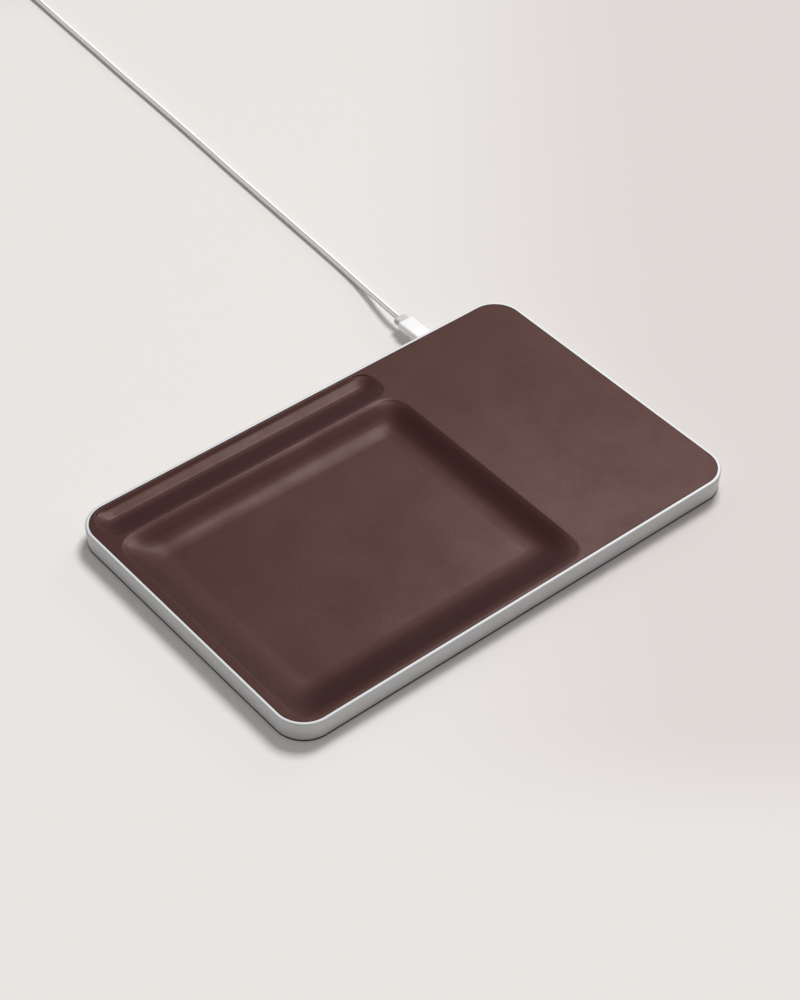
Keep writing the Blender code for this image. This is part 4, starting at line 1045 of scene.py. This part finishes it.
def addFrame(s):
    x, y = s["leatherHalf"]
    metal = finishes["satin_aluminium"]
    values = {"Low": (-x, -y, 0), "High": (x, y, 0), "Corner": s["leatherCorner"], "Corner Points": s["cornerPoints"]}
    section = pointMesh("frameSection", [(outset, 0, z) for outset, z in frameSection(s)])
    mesh = cleanCopy(shapeMesh(sweptFrame(metal), section, values, "frameSweep"), "frameWall")
    posts = postsAtPoints(metal)
    places = [(x * s["bossReach"][0], y * s["bossReach"][1], 0) for x in (-1, 0, 1) for y in (-1, 1)]
    places += [(x * s["endBossReach"], 0, 0) for x in (-1, 1)]
    low, high = s["bossSpan"]
    for operation, radius, bottom, top, sides in (
        ("UNION", s["bossRadius"], low, high, s["bossSides"]),
        ("DIFFERENCE", s["boreRadius"], low - mm, s["boreTop"], s["boreSides"]),
    ):
        values = {"Radius": radius, "Low": bottom, "High": top, "Sides": sides}
        tool = shapeMesh(posts, pointMesh("bossPlaces", places), values, "bossPosts")
        mesh = joinedMesh(mesh, tool, operation)
    rings = [pillRing(*s["windowHalf"], y, s["windowSteps"]) for y in s["windowSpan"]]
    window = loftMesh("socketWindow", rings, (s["windowPlace"][0], 0, s["windowPlace"][1]))
    mesh = cleanCopy(joinedMesh(mesh, window, "DIFFERENCE"), "housingFrame", s["sharpDegrees"])
    addPiece("housingFrame", mesh, "satin_aluminium", "tray", "housing_frame")


addFrame(frameSet)
print("housing frame made")


# Base pad: a soft dark sheet, drawn out to the frame's foot so that its dark edge stands in for the shade in the gap
# under the frame (painted shade)

padSet = {
    # wider than the part itself: the dark edge is painted shade for the gap under the frame
    "half": (136.8 * mm, 87.95 * mm),
    "corner": 16.1 * mm,
    "top": 0.75 * mm,
    "edgeRound": 0.2 * mm,
    "cornerSteps": 24,
    "edgeSteps": 4,
}


def addPad(s):
    rings = []
    for atTop in (False, True):
        for inset, rise in roundedEnd(s["edgeRound"], s["edgeSteps"], not atTop):
            half = [side - inset for side in s["half"]]
            outline = roundedRectangle((-half[0], -half[1]), half, s["corner"] - inset, s["cornerSteps"])
            rings.append([(x, y, s["top"] * atTop + rise) for x, y in outline])
    addPiece("basePad", loftMesh("basePad", rings, (0, 0, 0)), "grey_silicone", "tray", "base_pad")


addPad(padSet)
print("base pad made")


# Floor and light

studioSet = {
    "floorSize": 6.0,
    "floorColour": (0.83, 0.80, 0.775),
    "floorShadeColour": (0.745, 0.70, 0.683),  # painted shade: the paper is painted darker towards the right
    "floorTurn": -40.55,  # of the line across which the colour fades
    "floorFade": (-0.04, 0.15),
    "floorFront": (-0.21, -0.13),
    "floorRoughness": 0.9,
    "floorGloss": 0.1,
    "keyTurn": 31.5,
    "keyRise": 55.0,
    "keyAway": 2.2,
    "keySize": 0.76,
    "keyPower": 37.6,
    "keyShare": 0.63,  # of the light on the paper under the tray
    "keyFall": 3.0,
    "fillTurn": 22.0,
    "fillRise": 20.0,
    "fillAway": 2.2,
    "fillSize": 0.7,
    "fillPower": 4.6,
    "worldColour": (1.0, 0.995, 0.99),
    "worldStrength": 0.342,
}


def lampPlace(s, name):
    turn, rise = math.radians(s[name + "Turn"]), math.radians(s[name + "Rise"])
    towards = Vector((math.cos(turn) * math.cos(rise), math.sin(turn) * math.cos(rise), math.sin(rise)))
    return s[name + "Away"] * towards


def addFloor(s):
    half = s["floorSize"] / 2
    mesh = bpy.data.meshes.new("floor")
    mesh.from_pydata([(-half, -half, 0), (half, -half, 0), (half, half, 0), (-half, half, 0)], [], [(0, 1, 2, 3)])
    floor = addObject("floor", mesh)
    colour, far = s["floorColour"], s["floorShadeColour"]
    sockets = {"Specular IOR Level": s["floorGloss"]}
    material, tree, shader, place = newMaterial("floorPaper", colour, s["floorRoughness"], **sockets)
    feeds = {"Vector": place, "Rotation": (0, 0, math.radians(-s["floorTurn"]))}
    spots = parts(tree, addNode(tree, "ShaderNodeMapping", feeds).outputs[0])
    # painted shade: the paper darkens towards the right, and the shade fades out towards the front
    fades = []
    for output, span in ((spots[0], s["floorFade"]), (spots[1], s["floorFront"])):
        feeds = {"Value": output, "From Min": span[0], "From Max": span[1]}
        fades.append(addNode(tree, "ShaderNodeMapRange", feeds, interpolation_type="SMOOTHSTEP").outputs[0])
    paper = mixColours(tree, calc(tree, "MULTIPLY", *fades), colour, far)
    # painted light: the key falls off over the paper, and the paper is painted paler where less of it arrives, so
    # that it looks evenly lit
    away = vectorCalc(tree, "DISTANCE", place, lampPlace(s, "key"))
    falloff = calc(tree, "POWER", calc(tree, "DIVIDE", s["keyAway"], away), s["keyFall"])
    light = calc(tree, "ADD", calc(tree, "MULTIPLY", falloff, s["keyShare"]), 1 - s["keyShare"])
    even = addNode(tree, "ShaderNodeVectorMath", {0: paper, 3: calc(tree, "DIVIDE", 1.0, light)}, operation="SCALE")
    tree.links.new(even.outputs[0], shader.inputs["Base Color"])
    mesh.materials.append(material)


def addLight(s):
    for name in ("key", "fill"):
        light = bpy.data.lights.new(name + "Light", "AREA")
        light.energy = s[name + "Power"]
        light.size = s[name + "Size"]
        lamp = addObject(name + "Light", light)
        lamp.location = lampPlace(s, name)
        lamp.rotation_euler = lamp.location.to_track_quat("Z", "Y").to_euler()
    world = bpy.data.worlds.new("studio")
    scene.world = world
    world.use_nodes = True
    background = world.node_tree.nodes["Background"]
    background.inputs["Color"].default_value = (*s["worldColour"], 1.0)
    background.inputs["Strength"].default_value = s["worldStrength"]


addFloor(studioSet)
addLight(studioSet)
scene.view_settings.view_transform = "Standard"
print("studio made")
